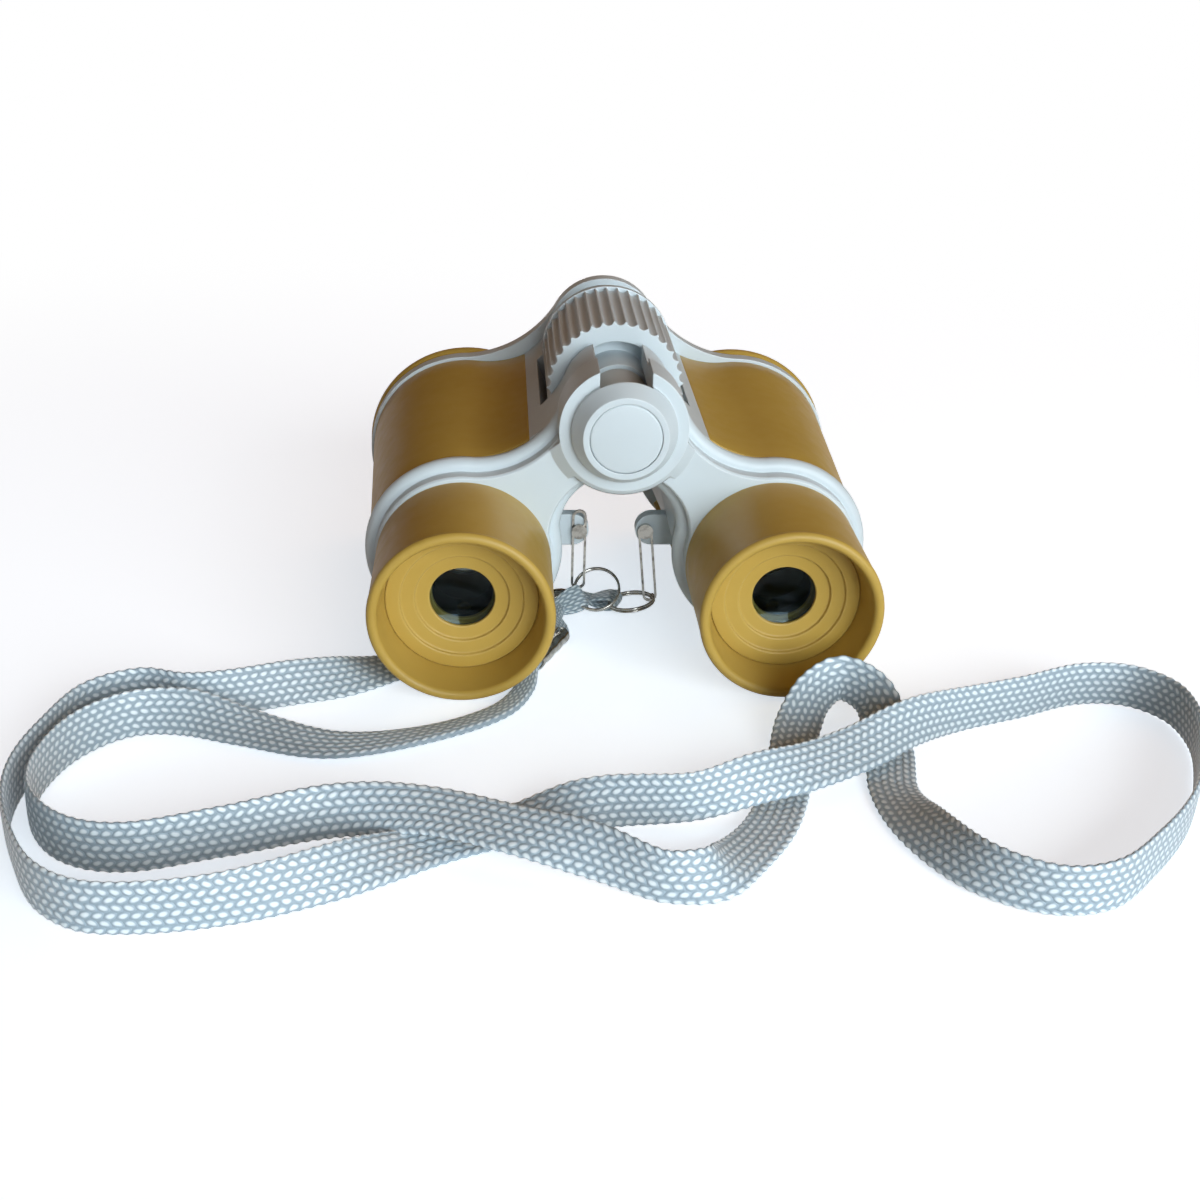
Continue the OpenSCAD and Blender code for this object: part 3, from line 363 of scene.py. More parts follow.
@dataclass(frozen=True)
class FlatBraid:
    """Bright polyester yarn in a flat braid: short oval floats in rows, each half a float on from the last.

    Attributes:
        name: Material name.
        slot: Name of a material slot; not used.
        yarn: Colour of the yarn, sRGB hex.
        gap: Colour of the painted shade between the floats, a blue-grey.
        row_mm: Distance between rows across the braid.
        float_mm: Distance between floats along a row.
        lean: How far a float leans over the height of its row, as a share of a float.
        fill: How steeply a float falls off from its middle; at 2 it just meets its neighbours.
        crown: Height share of a float at which the white of the yarn begins over the painted shade, and
            where it is full, so that the tops show as painted highlights.
        depth_mm: Height of a float.
        fibres_per_m: Marks of the fibres along and across the braid.
        fibre_share: Height of a fibre as a share of a float.
    """

    name: str
    slot: str
    yarn: str
    gap: str
    row_mm: float = 1.25
    float_mm: float = 1.75
    lean: float = 0.35
    fill: float = 1.9
    crown: tuple[float, float] = (0.62, 1.0)
    depth_mm: float = 0.22
    fibres_per_m: tuple[float, float] = (900.0, 9000.0)
    fibre_share: float = 0.18

    def material(self) -> bpy.types.Material:
        """Builds the material.

        Returns:
            The new material.
        """
        material, tree = blank(self.name)
        place = add(tree, "UVMap", {"uv_map": "Braid"})["UV"]
        stretched = add(tree, "Mapping", {"Vector": place, "Scale": (*self.fibres_per_m, 1.0)})["Vector"]
        fibre = add(tree, "TexNoise", {"Vector": stretched, "Scale": 1.0, "Detail": 2.0})["Fac"]
        weave = self.weave(tree, place, fibre)
        # Painted shade and highlight: each float is white only near its top and blue-grey lower down,
        # between the floats
        share = add(tree, "MapRange", {
            "interpolation_type": "SMOOTHSTEP", "Value": weave["crown"], "From Min": self.crown[0],
            "From Max": self.crown[1]})["Result"]
        tone = add(tree, "Mix", {
            "data_type": "RGBA", "Factor": share, 6: linear(self.gap), 7: linear(self.yarn)})[2]
        bump = add(tree, "Bump", {
            "Strength": 0.7, "Distance": self.depth_mm * MM, "Height": weave["height"]})["Normal"]
        shader = add(tree, "BsdfPrincipled", {
            "Base Color": tone, "Roughness": 0.34, "Normal": bump, "Sheen Weight": 0.25,
            "Sheen Roughness": 0.4})["BSDF"]
        add(tree, "OutputMaterial", {"Surface": shader})
        return material

    def weave(self, tree: bpy.types.NodeTree, place: bpy.types.NodeSocket,
              fibre: bpy.types.NodeSocket) -> dict[str, bpy.types.NodeSocket]:
        """Adds the sum that lays out the floats, one step to a row.

        Args:
            tree: The material's node tree.
            place: Length along the braid and girth round it, in metres.
            fibre: Height of the fibres.

        Returns:
            Each step's result by its name: crown is the height of a float and height has the fibres on it.
        """
        axes = add(tree, "SeparateXYZ", {"Vector": place})
        steps: tuple[tuple[str, str, Any, Any], ...] = (
            ("row", "DIVIDE", axes["Y"], self.row_mm * MM),
            ("row_number", "FLOOR", "row", 0.0),
            ("odd", "MODULO", "row_number", 2.0),
            ("row_part", "FRACT", "row", 0.0),
            ("lift", "SUBTRACT", "row_part", 0.5),
            ("swing", "MULTIPLY", "odd", 2 * self.lean),
            ("slope", "SUBTRACT", "swing", self.lean),
            ("lean", "MULTIPLY", "lift", "slope"),
            ("float", "DIVIDE", axes["X"], self.float_mm * MM),
            ("half_step", "MULTIPLY", "odd", 0.5),
            ("stepped", "ADD", "float", "half_step"),
            ("leaning", "ADD", "stepped", "lean"),
            ("float_part", "FRACT", "leaning", 0.0),
            ("along", "SUBTRACT", "float_part", 0.5),
            ("along_size", "ABSOLUTE", "along", 0.0),
            ("along_share", "MULTIPLY", "along_size", self.fill),
            ("along_square", "POWER", "along_share", 2.0),
            ("lift_size", "ABSOLUTE", "lift", 0.0),
            ("lift_share", "MULTIPLY", "lift_size", self.fill),
            ("lift_square", "POWER", "lift_share", 2.0),
            ("oval", "ADD", "along_square", "lift_square"),
            ("fall", "SUBTRACT", 1.0, "oval"),
            ("above", "MAXIMUM", "fall", 0.0),
            ("crown", "SQRT", "above", 0.0),
            ("fuzz", "MULTIPLY", fibre, self.fibre_share),
            ("height", "ADD", "crown", "fuzz"))
        done: dict[str, bpy.types.NodeSocket] = {}
        for name, operation, first, second in steps:
            terms = {0: done.get(first, first), 1: done.get(second, second)}
            done[name] = add(tree, "Math", {"operation": operation, **terms})[0]
        return done


class Finish(Enum):
    """Every finish on the part."""

    # In each moulded finish the third colour is a painted highlight on the rounded edges
    # Satin shells: soft wide highlights, a cool pale grey
    GREY = MouldedPlastic("abs_grey_satin_moulded", "grey_plastic", "#CDD7DB", "#C5CFD3", "#DDE4E7", 0.4)
    # The same shell with near-black painted shade inside the barrels, so that they look deep and dark
    TUBE = MouldedPlastic("abs_grey_shade_painted_inside", "grey_plastic", "#CDD7DB", "#C5CFD3", "#DDE4E7", 0.4,
                          inside_shade="#141515")
    # Grained shells: a dull ochre with a broken sheen and rims paler by a painted highlight
    TAN = MouldedPlastic("abs_tan_fine_grain_moulded", "tan_plastic", "#BE9E4C", "#B49342", "#DCC382", 0.4,
                         shine=0.34, grain_depth_mm=0.012)
    # The shaft: a waxy mid grey
    SHAFT = MouldedPlastic("acetal_grey_turned", "shaft_plastic", "#B9BAB5", "#AEAFAA", "#CBCCC8", 0.38)
    # The lenses: dark, with a dim crescent where they catch the window
    LENS = ClearLens("acrylic_clear_coated", "clear_glass", "#AAB4B2", "#8FA3AC")
    # Links, rings, crimps, rivets and screws: small sharp glints
    STEEL = PlatedSteel("steel_nickel_tumbled", "plated_steel", "#C6C3BC", "#86827A", 0.17)
    # The washer: black with no highlight
    RUBBER = MouldedPlastic("rubber_black_cut", "black_rubber", "#1B1B1B", "#222222", "#2A2A2A", 0.75)
    # The strap: white yarn, white only on the tops of the floats as a painted highlight, with blue-grey
    # painted shade between them
    BRAID = FlatBraid("polyester_white_flat_braid", "white_braid", "#EAF4F8", "#9FB1BD")


@functools.cache
def paint(finish: Finish) -> bpy.types.Material:
    """Returns the material of a finish, built on first use."""
    return finish.value.material()


def place_piece(bm: bmesh.types.BMesh, name: str, finish: Finish, node: str,
                sharp: float = 35.0) -> bpy.types.Object:
    """Turns a finished bmesh into a piece that rides on the fixed body.

    Args:
        bm: The mesh, already in the scene's metres.
        name: The piece's name.
        finish: Its finish.
        node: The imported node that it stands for.
        sharp: Angle past which an edge stays sharp, in degrees.

    Returns:
        The new object.
    """
    mesh = bpy.data.meshes.new(name)
    bm.to_mesh(mesh)
    bm.free()
    mesh.shade_smooth()
    mesh.set_sharp_from_angle(angle=math.radians(sharp))
    mesh.materials.append(paint(finish))
    piece = bpy.data.objects.new(name, mesh)
    bpy.context.scene.collection.objects.link(piece)
    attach(piece, FIXED_BODY)
    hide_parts(node)
    LOG.info("%s: %d faces", name, len(mesh.polygons))
    return piece


def draw_line(bm: bmesh.types.BMesh, points: Sequence[Sequence[float]],
              closed: bool = False) -> list[bmesh.types.BMVert]:
    """Draws edges from point to point.

    Args:
        bm: The mesh that gets the edges.
        points: The points in order.
        closed: Whether the last point joins the first.

    Returns:
        The new vertices in order.
    """
    verts = [bm.verts.new(point) for point in points]
    for first, second in zip(verts, verts[1:] + verts[:1] if closed else verts[1:]):
        bm.edges.new((first, second))
    return verts


def spin_section(section: Sequence[tuple[float, float]], steps: int,
                 closed: bool = False) -> bmesh.types.BMesh:
    """Spins a section round a barrel's axis.

    Args:
        section: Radius and station of each corner, in millimetres.
        steps: Number of faces round the axis.
        closed: Whether the last corner joins the first.

    Returns:
        The solid of revolution, with its faces outwards.
    """
    bm = bmesh.new()
    draw_line(bm, [(radius, station, 0) for radius, station in section], closed)
    bmesh.ops.spin(bm, geom=bm.verts[:] + bm.edges[:], cent=(0, 0, 0), axis=(0, 1, 0), angle=math.tau,
                   steps=steps, use_merge=True)
    bmesh.ops.remove_doubles(bm, verts=bm.verts, dist=1e-4)
    bmesh.ops.recalc_face_normals(bm, faces=bm.faces)
    return bm


def round_edges(bm: bmesh.types.BMesh, edges: list[bmesh.types.BMEdge], radius: float,
                segments: int = 4) -> None:
    """Rounds edges as a mould does.

    Args:
        bm: The mesh that they belong to.
        edges: The edges.
        radius: Distance that the rounding reaches on each side.
        segments: Faces across the rounding.
    """
    bmesh.ops.bevel(bm, geom=edges, offset=radius, segments=segments, affect="EDGES", profile=0.5,
                    material=-1)


@dataclass
class Mouldings:
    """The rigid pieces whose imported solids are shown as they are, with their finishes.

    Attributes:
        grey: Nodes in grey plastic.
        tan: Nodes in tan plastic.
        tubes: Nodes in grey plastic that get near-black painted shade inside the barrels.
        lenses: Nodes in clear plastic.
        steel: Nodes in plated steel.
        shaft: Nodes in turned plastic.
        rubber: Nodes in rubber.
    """

    grey: tuple[str, ...] = ("front_end_plate", "saddle", "focus_wheel", "focus_carriage",
                             *both("objective_cell", "lens_keeper"))
    tan: tuple[str, ...] = both("eyecup", "objective_hood")
    tubes: tuple[str, ...] = ("rear_end_plate", *both("barrel_tube"))
    lenses: tuple[str, ...] = both("objective_lens")
    steel: tuple[str, ...] = ("assembly_screws", "strap_rivets", *both("strap_link"))
    shaft: tuple[str, ...] = ("focus_screw",)
    rubber: tuple[str, ...] = ("friction_washer",)

    def dress(self) -> None:
        """Gives each shown node its finish."""
        groups = ((self.grey, Finish.GREY), (self.tan, Finish.TAN), (self.tubes, Finish.TUBE),
                  (self.lenses, Finish.LENS), (self.steel, Finish.STEEL), (self.shaft, Finish.SHAFT),
                  (self.rubber, Finish.RUBBER))
        for nodes, finish in groups:
            for node in nodes:
                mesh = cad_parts[node].data
                mesh.materials.clear()
                mesh.materials.append(paint(finish))
            LOG.info("%s on %d nodes", finish.value.name, len(nodes))


@dataclass
class HubCaps:
    """The two round caps on the hub, with the rounded rims that the mould leaves.

    Attributes:
        rear: Radius, station of the near face and thickness of the rear cap, in millimetres.
        front: The same of the front cap.
        rim: Radius of the rounded rims.
    """

    rear: tuple[float, float, float] = (6.7, 17.0, 1.5)
    front: tuple[float, float, float] = (11.0, 85.2, 1.6)
    rim: float = 0.4

    def disc(self, radius: float, start: float, thick: float) -> bmesh.types.BMesh:
        """Makes a disc across the focus axis with its rims rounded.

        Args:
            radius: Radius of the disc.
            start: Station of its near face along the barrels.
            thick: Thickness.

        Returns:
            The disc, in the scene's metres.
        """
        bm = bmesh.new()
        upright = Matrix.Rotation(math.radians(-90), 4, "X")
        stand = Matrix.Translation((0, start + thick / 2, BODY.focus_z)) @ upright
        bmesh.ops.create_cone(bm, cap_ends=True, segments=FACETS, radius1=radius, radius2=radius,
                              depth=thick, matrix=stand)
        rims = [e for e in bm.edges if abs(e.verts[0].co.y - e.verts[1].co.y) < 1e-6]
        round_edges(bm, rims, self.rim)
        bmesh.ops.transform(bm, matrix=BODY.matrix(), verts=bm.verts)
        return bm

    def build(self) -> None:
        """Makes both caps."""
        place_piece(self.disc(*self.rear), "rear_hub_disc", Finish.GREY, "hub_cap")
        place_piece(self.disc(*self.front), "front_hub_disc", Finish.GREY, "front_hub_cap")


@dataclass
class EyepieceSteps:
    """The stepped floor of an eyecup round the glass, with the soft edges that the mould leaves.

    Attributes:
        side: Which eyecup it sits in.
        radii: Outside of each step and, last, the opening for the glass, in millimetres.
        front: Station of the outermost step along the barrel.
        fall: Height of each step.
        back: Station of the back.
        soft: Radius of the rounded edges.
        facets: Faces round the floor.
    """

    side: Side
    radii: tuple[float, ...] = (14.05, 11.367, 8.683, 6.0)
    front: float = 7.6
    fall: float = 0.7
    back: float = 9.8
    soft: float = 0.26
    facets: int = 144

    def build(self) -> None:
        """Spins the stepped section round the barrel axis and rounds its edges."""
        section = [(self.radii[0], self.back)]
        for i, (outside, inside) in enumerate(zip(self.radii, self.radii[1:])):
            station = self.front + i * self.fall
            section += [(outside, station), (inside, station)]
        section.append((self.radii[-1], self.back))
        bm = spin_section(section, self.facets, closed=True)
        edges = [e for e in bm.edges if e.calc_face_angle(0) > CORNER]
        round_edges(bm, edges, self.soft)
        bmesh.ops.transform(bm, matrix=BODY.barrel(self.side), verts=bm.verts)
        word = self.side.word
        place_piece(bm, f"{word}_eyepiece_steps", Finish.TAN, f"{word}_ocular_ring")


@dataclass
class EyepieceGlass:
    """The lens in an eyecup, hollow towards the eye so that it catches the window low on its rim.

    Attributes:
        side: Which eyecup it sits in.
        radius: Radius of the lens, in millimetres.
        span: Stations of its rim along the barrel.
        hollow: Depth of the hollow.
        arcs: Edges across half of the hollow.
    """

    side: Side
    radius: float = 7.0
    span: tuple[float, float] = (9.85, 12.2)
    hollow: float = 1.6
    arcs: int = 24

    def build(self) -> None:
        """Spins the lens's section round the barrel axis."""
        ball = (self.radius**2 + self.hollow**2) / (2 * self.hollow)
        near, far = self.span
        section = []
        for i in range(self.arcs + 1):
            angle = math.asin(self.radius / ball) * i / self.arcs
            section.append((ball * math.sin(angle), near + self.hollow - ball * (1 - math.cos(angle))))
        bm = spin_section(section + [(self.radius, far), (0.0, far)], FACETS)
        bmesh.ops.transform(bm, matrix=BODY.barrel(self.side), verts=bm.verts)
        word = self.side.word
        place_piece(bm, f"{word}_eyepiece_glass", Finish.LENS, f"{word}_ocular_lens")


@dataclass
class BarrelPanel:
    """A tan panel that laps from the saddle over a barrel and round underneath.

    Attributes:
        side: Which barrel it covers.
        thickness: Wall of the panel, in millimetres.
        edge_x: Distance of the edge beside the saddle from the middle.
        fillet: Radius of the hollow curve beside the saddle.
        hub: Radius of the saddle round the focus axis.
        shoulder: Radius and height of the saddle's curve over the barrel.
        rear: Radius and height of the section at the rear plate.
        front: Radius and height of the section at the front plate.
        span: Stations of the two ends along the barrels.
        end: Angle at which the panel ends under the barrel, in degrees.
        soft: Radius of the rounded edges.
        arcs: Edges round the hollow curve and round the barrel.
        cuts: Cuts across the panel between its ends.
    """

    side: Side
    thickness: float = 1.5
    edge_x: float = 17.35
    fillet: float = 20.0
    hub: float = 10.65
    shoulder: tuple[float, float] = (18.85, 0.9)
    rear: tuple[float, float] = (18.5, 0.6)
    front: tuple[float, float] = (21.5, 0.0)
    span: tuple[float, float] = (30.45, 82.15)
    end: float = 142.0
    soft: float = 0.25
    arcs: tuple[int, int] = (12, 72)
    cuts: int = 9

    @staticmethod
    def meet(first: Vector, first_reach: float, second: Vector, second_reach: float) -> Vector:
        """Finds the point at given distances from two others, on the left of the line between them.

        Args:
            first: First point.
            first_reach: Distance from it.
            second: Second point.
            second_reach: Distance from that.

        Returns:
            The point.
        """
        way = second - first
        run = way.length
        ahead = way / run
        foot = (first_reach**2 - second_reach**2 + run**2) / (2 * run)
        return first + foot * ahead + math.sqrt(first_reach**2 - foot**2) * Vector((-ahead.y, ahead.x))

    @staticmethod
    def arc(centre: Vector, radius: float, start: float, end: float, steps: int) -> list[Vector]:
        """Returns points round an arc, both ends among them, between two angles in radians."""
        angles = (start + (end - start) * i / steps for i in range(steps + 1))
        return [centre + radius * Vector((math.cos(a), math.sin(a))) for a in angles]

    def section(self, share: float) -> list[Vector]:
        """Works out the outside of the panel across the barrel.

        Args:
            share: Place along the panel, 0 at the rear and 1 at the front.

        Returns:
            Points in X and Z, from the saddle round to the underside.
        """
        focus, barrel = Vector((0, BODY.focus_z)), Vector((BODY.axis_x, self.shoulder[1]))
        saddle = self.meet(focus, self.hub + self.fillet, barrel, self.shoulder[0] + self.fillet)
        drop = math.sqrt(self.fillet**2 - (saddle.x - self.edge_x) ** 2)
        edge = Vector((self.edge_x, saddle.y - drop))
        radius, height = (r + (f - r) * share for r, f in zip(self.rear, self.front))
        centre = Vector((BODY.axis_x, height))
        hollow = self.meet(edge, self.fillet, centre, radius + self.fillet)
        start = math.atan2(edge.y - hollow.y, edge.x - hollow.x)
        join = math.atan2(centre.y - hollow.y, centre.x - hollow.x)
        beside = self.arc(hollow, self.fillet, start, join, self.arcs[0])[:-1]
        end = -math.radians(self.end)
        return beside + self.arc(centre, radius, join + math.pi, end, self.arcs[1])

    def build(self) -> None:
        """Makes the panel and hangs it on its barrel."""
        near, far = ([(self.side.value * p.x, station, p.y) for p in self.section(share)]
                     for share, station in enumerate(self.span))
        bm = bmesh.new()
        targets = dict(zip(draw_line(bm, near), far))
        grown = bmesh.ops.extrude_edge_only(bm, edges=bm.edges[:])
        for vert in [v for v in grown["geom"] if isinstance(v, bmesh.types.BMVert)]:
            ends = (edge.other_vert(vert) for edge in vert.link_edges)
            vert.co = next(targets[end] for end in ends if end in targets)
        runs = [e for e in bm.edges if abs(e.verts[0].co.y - e.verts[1].co.y) > 1]
        bmesh.ops.subdivide_edges(bm, edges=runs, cuts=self.cuts, use_grid_fill=True)
        bmesh.ops.recalc_face_normals(bm, faces=bm.faces)
        top = max(bm.faces, key=lambda f: f.calc_center_median().z)
        if top.normal.z < 0:
            bmesh.ops.reverse_faces(bm, faces=bm.faces)
        bmesh.ops.solidify(bm, geom=bm.faces[:], thickness=self.thickness)
        rim = [e for e in bm.edges if e.is_manifold and e.calc_face_angle(0) > CORNER]
        round_edges(bm, rim, self.soft, segments=3)
        bmesh.ops.transform(bm, matrix=BODY.matrix(), verts=bm.verts)
        word = self.side.word
        place_piece(bm, f"{word}_barrel_panel", Finish.TAN, f"{word}_barrel_cover", sharp=50)


@dataclass
class SplitRing:
    """A split ring: two close turns of spring wire.

    Attributes:
        side: Which end of the strap it carries.
        place: Middle of the ring, in millimetres.
        lean: Turns about X, Y and Z, in degrees.
        radius: Radius at the middle of the wire.
        wire: Radius of the wire.
        turns: Number of turns.
        pitch: Rise of the wire in a turn.
        facets: Faces along a turn and round the wire.
    """

    side: Side
    place: tuple[float, float, float]
    lean: tuple[float, float, float]
    radius: float = 4.7
    wire: float = 0.26
    turns: float = 2.04
    pitch: float = 0.5304
    facets: tuple[int, int] = (64, 14)

    def matrix(self) -> Matrix:
        """Works out how the ring lies.

        Returns:
            The matrix from the flat ring to its place, in millimetres.
        """
        turn = Matrix.Identity(4)
        for angle, axis in zip(self.lean, "XYZ"):
            turn = Matrix.Rotation(math.radians(angle), 4, axis) @ turn
        return Matrix.Translation(self.place) @ turn

    def build(self) -> bpy.types.Object:
        """Winds the wire.

        Returns:
            The ring.
        """
        bm = bmesh.new()
        steps = int(self.facets[0] * self.turns)
        rise = self.pitch * self.turns
        start = Matrix.Translation((self.radius, 0, -rise / 2)) @ Matrix.Rotation(math.pi / 2, 4, "X")
        bmesh.ops.create_circle(bm, segments=self.facets[1], radius=self.wire, matrix=start)
        bmesh.ops.spin(bm, geom=bm.verts[:] + bm.edges[:], cent=(0, 0, 0), axis=(0, 0, 1),
                       dvec=(0, 0, rise / steps), angle=math.tau * self.turns, steps=steps)
        bmesh.ops.holes_fill(bm, edges=[e for e in bm.edges if e.is_boundary], sides=0)
        bmesh.ops.recalc_face_normals(bm, faces=bm.faces)
        bmesh.ops.transform(bm, matrix=Matrix.Scale(MM, 4) @ self.matrix(), verts=bm.verts)
        word = self.side.word
        return place_piece(bm, f"{word}_ring_coil", Finish.STEEL, f"{word}_split_ring", sharp=60)


@dataclass
class Crimp:
    """A metal ferrule rolled round the gathered braid, with its seam open by a hair and squeezed in bands.

    Attributes:
        side: Which end of the strap it closes.
        start: Where the braid enters, in millimetres.
        end: Where the braid leaves.
        radius: Outside radius.
        short: Length by which it stops short of start and end.
        seam: Half of the seam's opening, in degrees.
        turn: Place of the seam round the braid, in degrees.
        bands: Number of squeezed bands.
        bite: Depth of a band as a share of the radius.
        plain: Share of the length at each end that isn't squeezed.
        wall: Thickness of the metal.
        around: Faces round it.
        along: Faces along it.
    """

    side: Side
    start: Vector
    end: Vector
    radius: float = 1.8
    short: float = 0.6
    seam: float = 12.0
    turn: float = 100.0
    bands: int = 3
    bite: float = 0.14
    plain: float = 0.1
    wall: float = 0.28
    around: int = 40
    along: int = 26

    def build(self) -> bpy.types.Object:
        """Rolls the metal.

        Returns:
            The crimp.
        """
        bm = bmesh.new()
        seam = math.radians(self.seam)
        angles = [seam + (math.tau - 2 * seam) * i / self.around for i in range(self.around + 1)]
        draw_line(bm, [(self.radius * math.cos(a), self.radius * math.sin(a), self.short) for a in angles])
        way = self.end - self.start
        run = way.length - 2 * self.short
        rim = bm.edges[:]
        for _ in range(self.along):
            grown = bmesh.ops.extrude_edge_only(bm, edges=rim)["geom"]
            rim = [e for e in grown if isinstance(e, bmesh.types.BMEdge)]
            verts = [v for v in grown if isinstance(v, bmesh.types.BMVert)]
            bmesh.ops.translate(bm, verts=verts, vec=(0, 0, run / self.along))
        for vert in bm.verts:
            share = (vert.co.z - self.short) / run
            if self.plain < share < 1 - self.plain:
                vert.co.x *= 1 - self.bite * max(0.0, math.cos(math.tau * self.bands * (share - 0.5)))
        bmesh.ops.recalc_face_normals(bm, faces=bm.faces)
        outer = next(iter(bm.faces))
        if outer.normal.dot(Vector((*outer.calc_center_median().xy, 0))) < 0:
            bmesh.ops.reverse_faces(bm, faces=bm.faces)
        bmesh.ops.solidify(bm, geom=bm.faces[:], thickness=self.wall)
        turn = way.to_track_quat("Z", "Y").to_matrix().to_4x4()
        place = Matrix.Scale(MM, 4) @ Matrix.Translation(self.start) @ turn
        seam_turn = Matrix.Rotation(math.radians(self.turn), 4, "Z")
        bmesh.ops.transform(bm, matrix=place @ seam_turn, verts=bm.verts)
        word = self.side.word
        return place_piece(bm, f"{word}_crimp", Finish.STEEL, f"{word}_strap_ferrule", sharp=50)


@dataclass(frozen=True)
class Station:
    """One place along a band.

    Attributes:
        centre: Middle of the band, in millimetres.
        across: Unit vector across its width.
        face: Unit vector out of its face.
        width: Width there.
        thick: Thickness there.
    """

    centre: Vector
    across: Vector
    face: Vector
    width: float
    thick: float


# Width and thickness of the slack braid, in millimetres
SLACK: tuple[float, float] = (8.3, 0.9)


@dataclass
class Band:
    """A flat braid swept along stations.

    Attributes:
        stations: Places along the band.
        around: Points round its section.
        round_off: Powers that round off the section across and through the braid.
        bite: Depth of the scallops that the floats make along the edges, in millimetres.
        scallop: Distance between scallops.
    """

    stations: list[Station]
    around: int = 28
    round_off: tuple[float, float] = (0.6, 0.7)
    bite: float = 0.12
    scallop: float = 1.8

    def outline(self, width: float, thick: float) -> list[Vector]:
        """Works out the flat rounded section.

        Args:
            width: Width of the section.
            thick: Thickness of the section.

        Returns:
            Points round the section, the first one repeated at the end.
        """
        points = []
        for i in range(self.around + 1):
            angle = math.tau * i / self.around
            wave = (math.cos(angle), math.sin(angle))
            points.append(Vector([size / 2 * math.copysign(abs(w) ** power, w)
                                  for size, w, power in zip((width, thick), wave, self.round_off)]))
        return points

    def mesh(self) -> bmesh.types.BMesh:
        """Sweeps the section.

        Returns:
            The closed band, in the scene's metres, with its length and girth as a UV map in metres.
        """
        bm = bmesh.new()
        chart = bm.loops.layers.uv.new("Braid")
        count = len(self.stations) - 1
        bmesh.ops.create_grid(bm, x_segments=count, y_segments=self.around, size=0.5)
        slack = self.outline(*SLACK)
        girth = [0.0]
        for first, second in zip(slack, slack[1:]):
            girth.append(girth[-1] + (second - first).length)
        run = [0.0]
        for first, second in zip(self.stations, self.stations[1:]):
            run.append(run[-1] + (second.centre - first.centre).length)
        cell = {v: (round((v.co.x + 0.5) * count), round((v.co.y + 0.5) * self.around)) for v in bm.verts}
        for face in bm.faces:
            for loop in face.loops:
                i, j = cell[loop.vert]
                loop[chart].uv = (run[i] * MM, girth[j] * MM)
        sections = [self.outline(s.width, s.thick) for s in self.stations]
        for vert, (i, j) in cell.items():
            station, flat = self.stations[i], sections[i][j]
            swell = 1 + 2 * self.bite / SLACK[0] * math.sin(math.tau * run[i] / self.scallop)
            vert.co = station.centre + flat.x * swell * station.across + flat.y * station.face
        bmesh.ops.remove_doubles(bm, verts=bm.verts, dist=1e-5)
        bmesh.ops.holes_fill(bm, edges=[e for e in bm.edges if e.is_boundary], sides=0)
        bmesh.ops.recalc_face_normals(bm, faces=bm.faces)
        bmesh.ops.transform(bm, matrix=Matrix.Scale(MM, 4), verts=bm.verts)
        return bm


# Route of the braid on the table: x, y, height of its lower edge, bank and spread, in mm and degrees
ROUTE: list[tuple[float, float, float, float, float]] = [
    (-11, -7.7, 1.75, 180, 0.2), (-12, -13, 1.5, 180, 0.1), (-10.6, -19, 0.9, 180, 0),
    (-16.6, -32, 0.9, 180, 0), (-18.6, -41, 0.3, 180, 0.2), (-23, -49, 0, 180, 0.3), (-35, -57, 0, 178, 0.4),
    (-52, -62, 0, 160, 0.6), (-68, -57, 0, 140, 0.8), (-78, -54, 0, 115, 1), (-87, -55, 0, 100, 1),
    (-94, -62, 0, 95, 1), (-97, -73, 0, 90, 1), (-96, -83, 0, 88, 1), (-91, -91, 0, 85, 1),
    (-85, -95, 0, 85, 1), (-78, -96, 0, 85, 1), (-64, -92, 0, 80, 1), (-49, -88, 1, 60, 1),
    (-34, -90, 3.4, 30, 1), (-20, -96, 3.4, 30, 1), (-9, -101, 1.5, 60, 1), (1, -106, 0, 80, 1),
    (8, -105, 0, 60, 1), (13, -98, 0, 20, 1), (20, -87, 0, 4, 1), (26, -70, 0, 4, 1),
    (30, -57, 0, 25, 1), (34, -51, 1.5, 55, 1), (39, -48.5, 2.5, 75, 1), (44, -52, 1.5, 55, 1),
    (45, -62, 0, 4, 1), (42, -78, 0, 3, 1), (43, -93, 0, 40, 1), (48, -105, 0, 70, 1),
    (57, -111, 0, 85, 1), (66, -110, 0, 85, 1), (76, -102, 0, 88, 1), (86, -91, 0, 90, 1),
    (93, -79, 0, 90, 1), (99, -64, 0, 92, 1), (99, -54, 0, 95, 1), (94, -48, 0, 95, 1),
    (85, -47, 0, 95, 1), (72, -52, 0, 95, 1), (59, -57, 0.3, 100, 1), (48, -64, 2, 120, 1),
    (38, -71, 2.3, 140, 1), (28, -77, 2.3, 140, 1), (18, -82, 2.1, 120, 1), (8, -85, 0.5, 100, 1),
    (-7, -85, 0, 120, 1), (-20, -87, 0, 165, 1), (-34, -93, 0, 165, 1), (-48, -103, 0, 120, 1),
    (-61, -109, 0, 100, 1), (-74, -111, 0, 95, 1), (-82, -110, 0, 95, 1), (-89, -105, 0, 93, 1),
    (-95, -95, 0, 90, 1), (-99, -85, 0, 90, 1), (-100.2, -75, 0, 88, 1), (-98.8, -64, 0, 85, 1),
    (-95, -51, 0, 85, 1), (-87, -46, 0, 80, 1), (-79, -48, 0, 80, 1), (-71, -47, 0, 75, 1),
    (-61, -43, 0, 60, 1), (-52, -39, 0, 40, 1), (-45, -33, 0, 15, 1), (-38, -27, 0, 4, 1),
    (-30, -25, 0, 0, 1), (-23, -21, 0, 0, 0.9), (-20, -13, 0, 0, 0.5), (-19.6, -6, 0.4, 0, 0.2),
    (-17, -1.8, 0.9, 0, 0), (-7, -0.2, 0.9, 0, 0), (-3.2, -2.3, 0.9, 0, 0.2)]


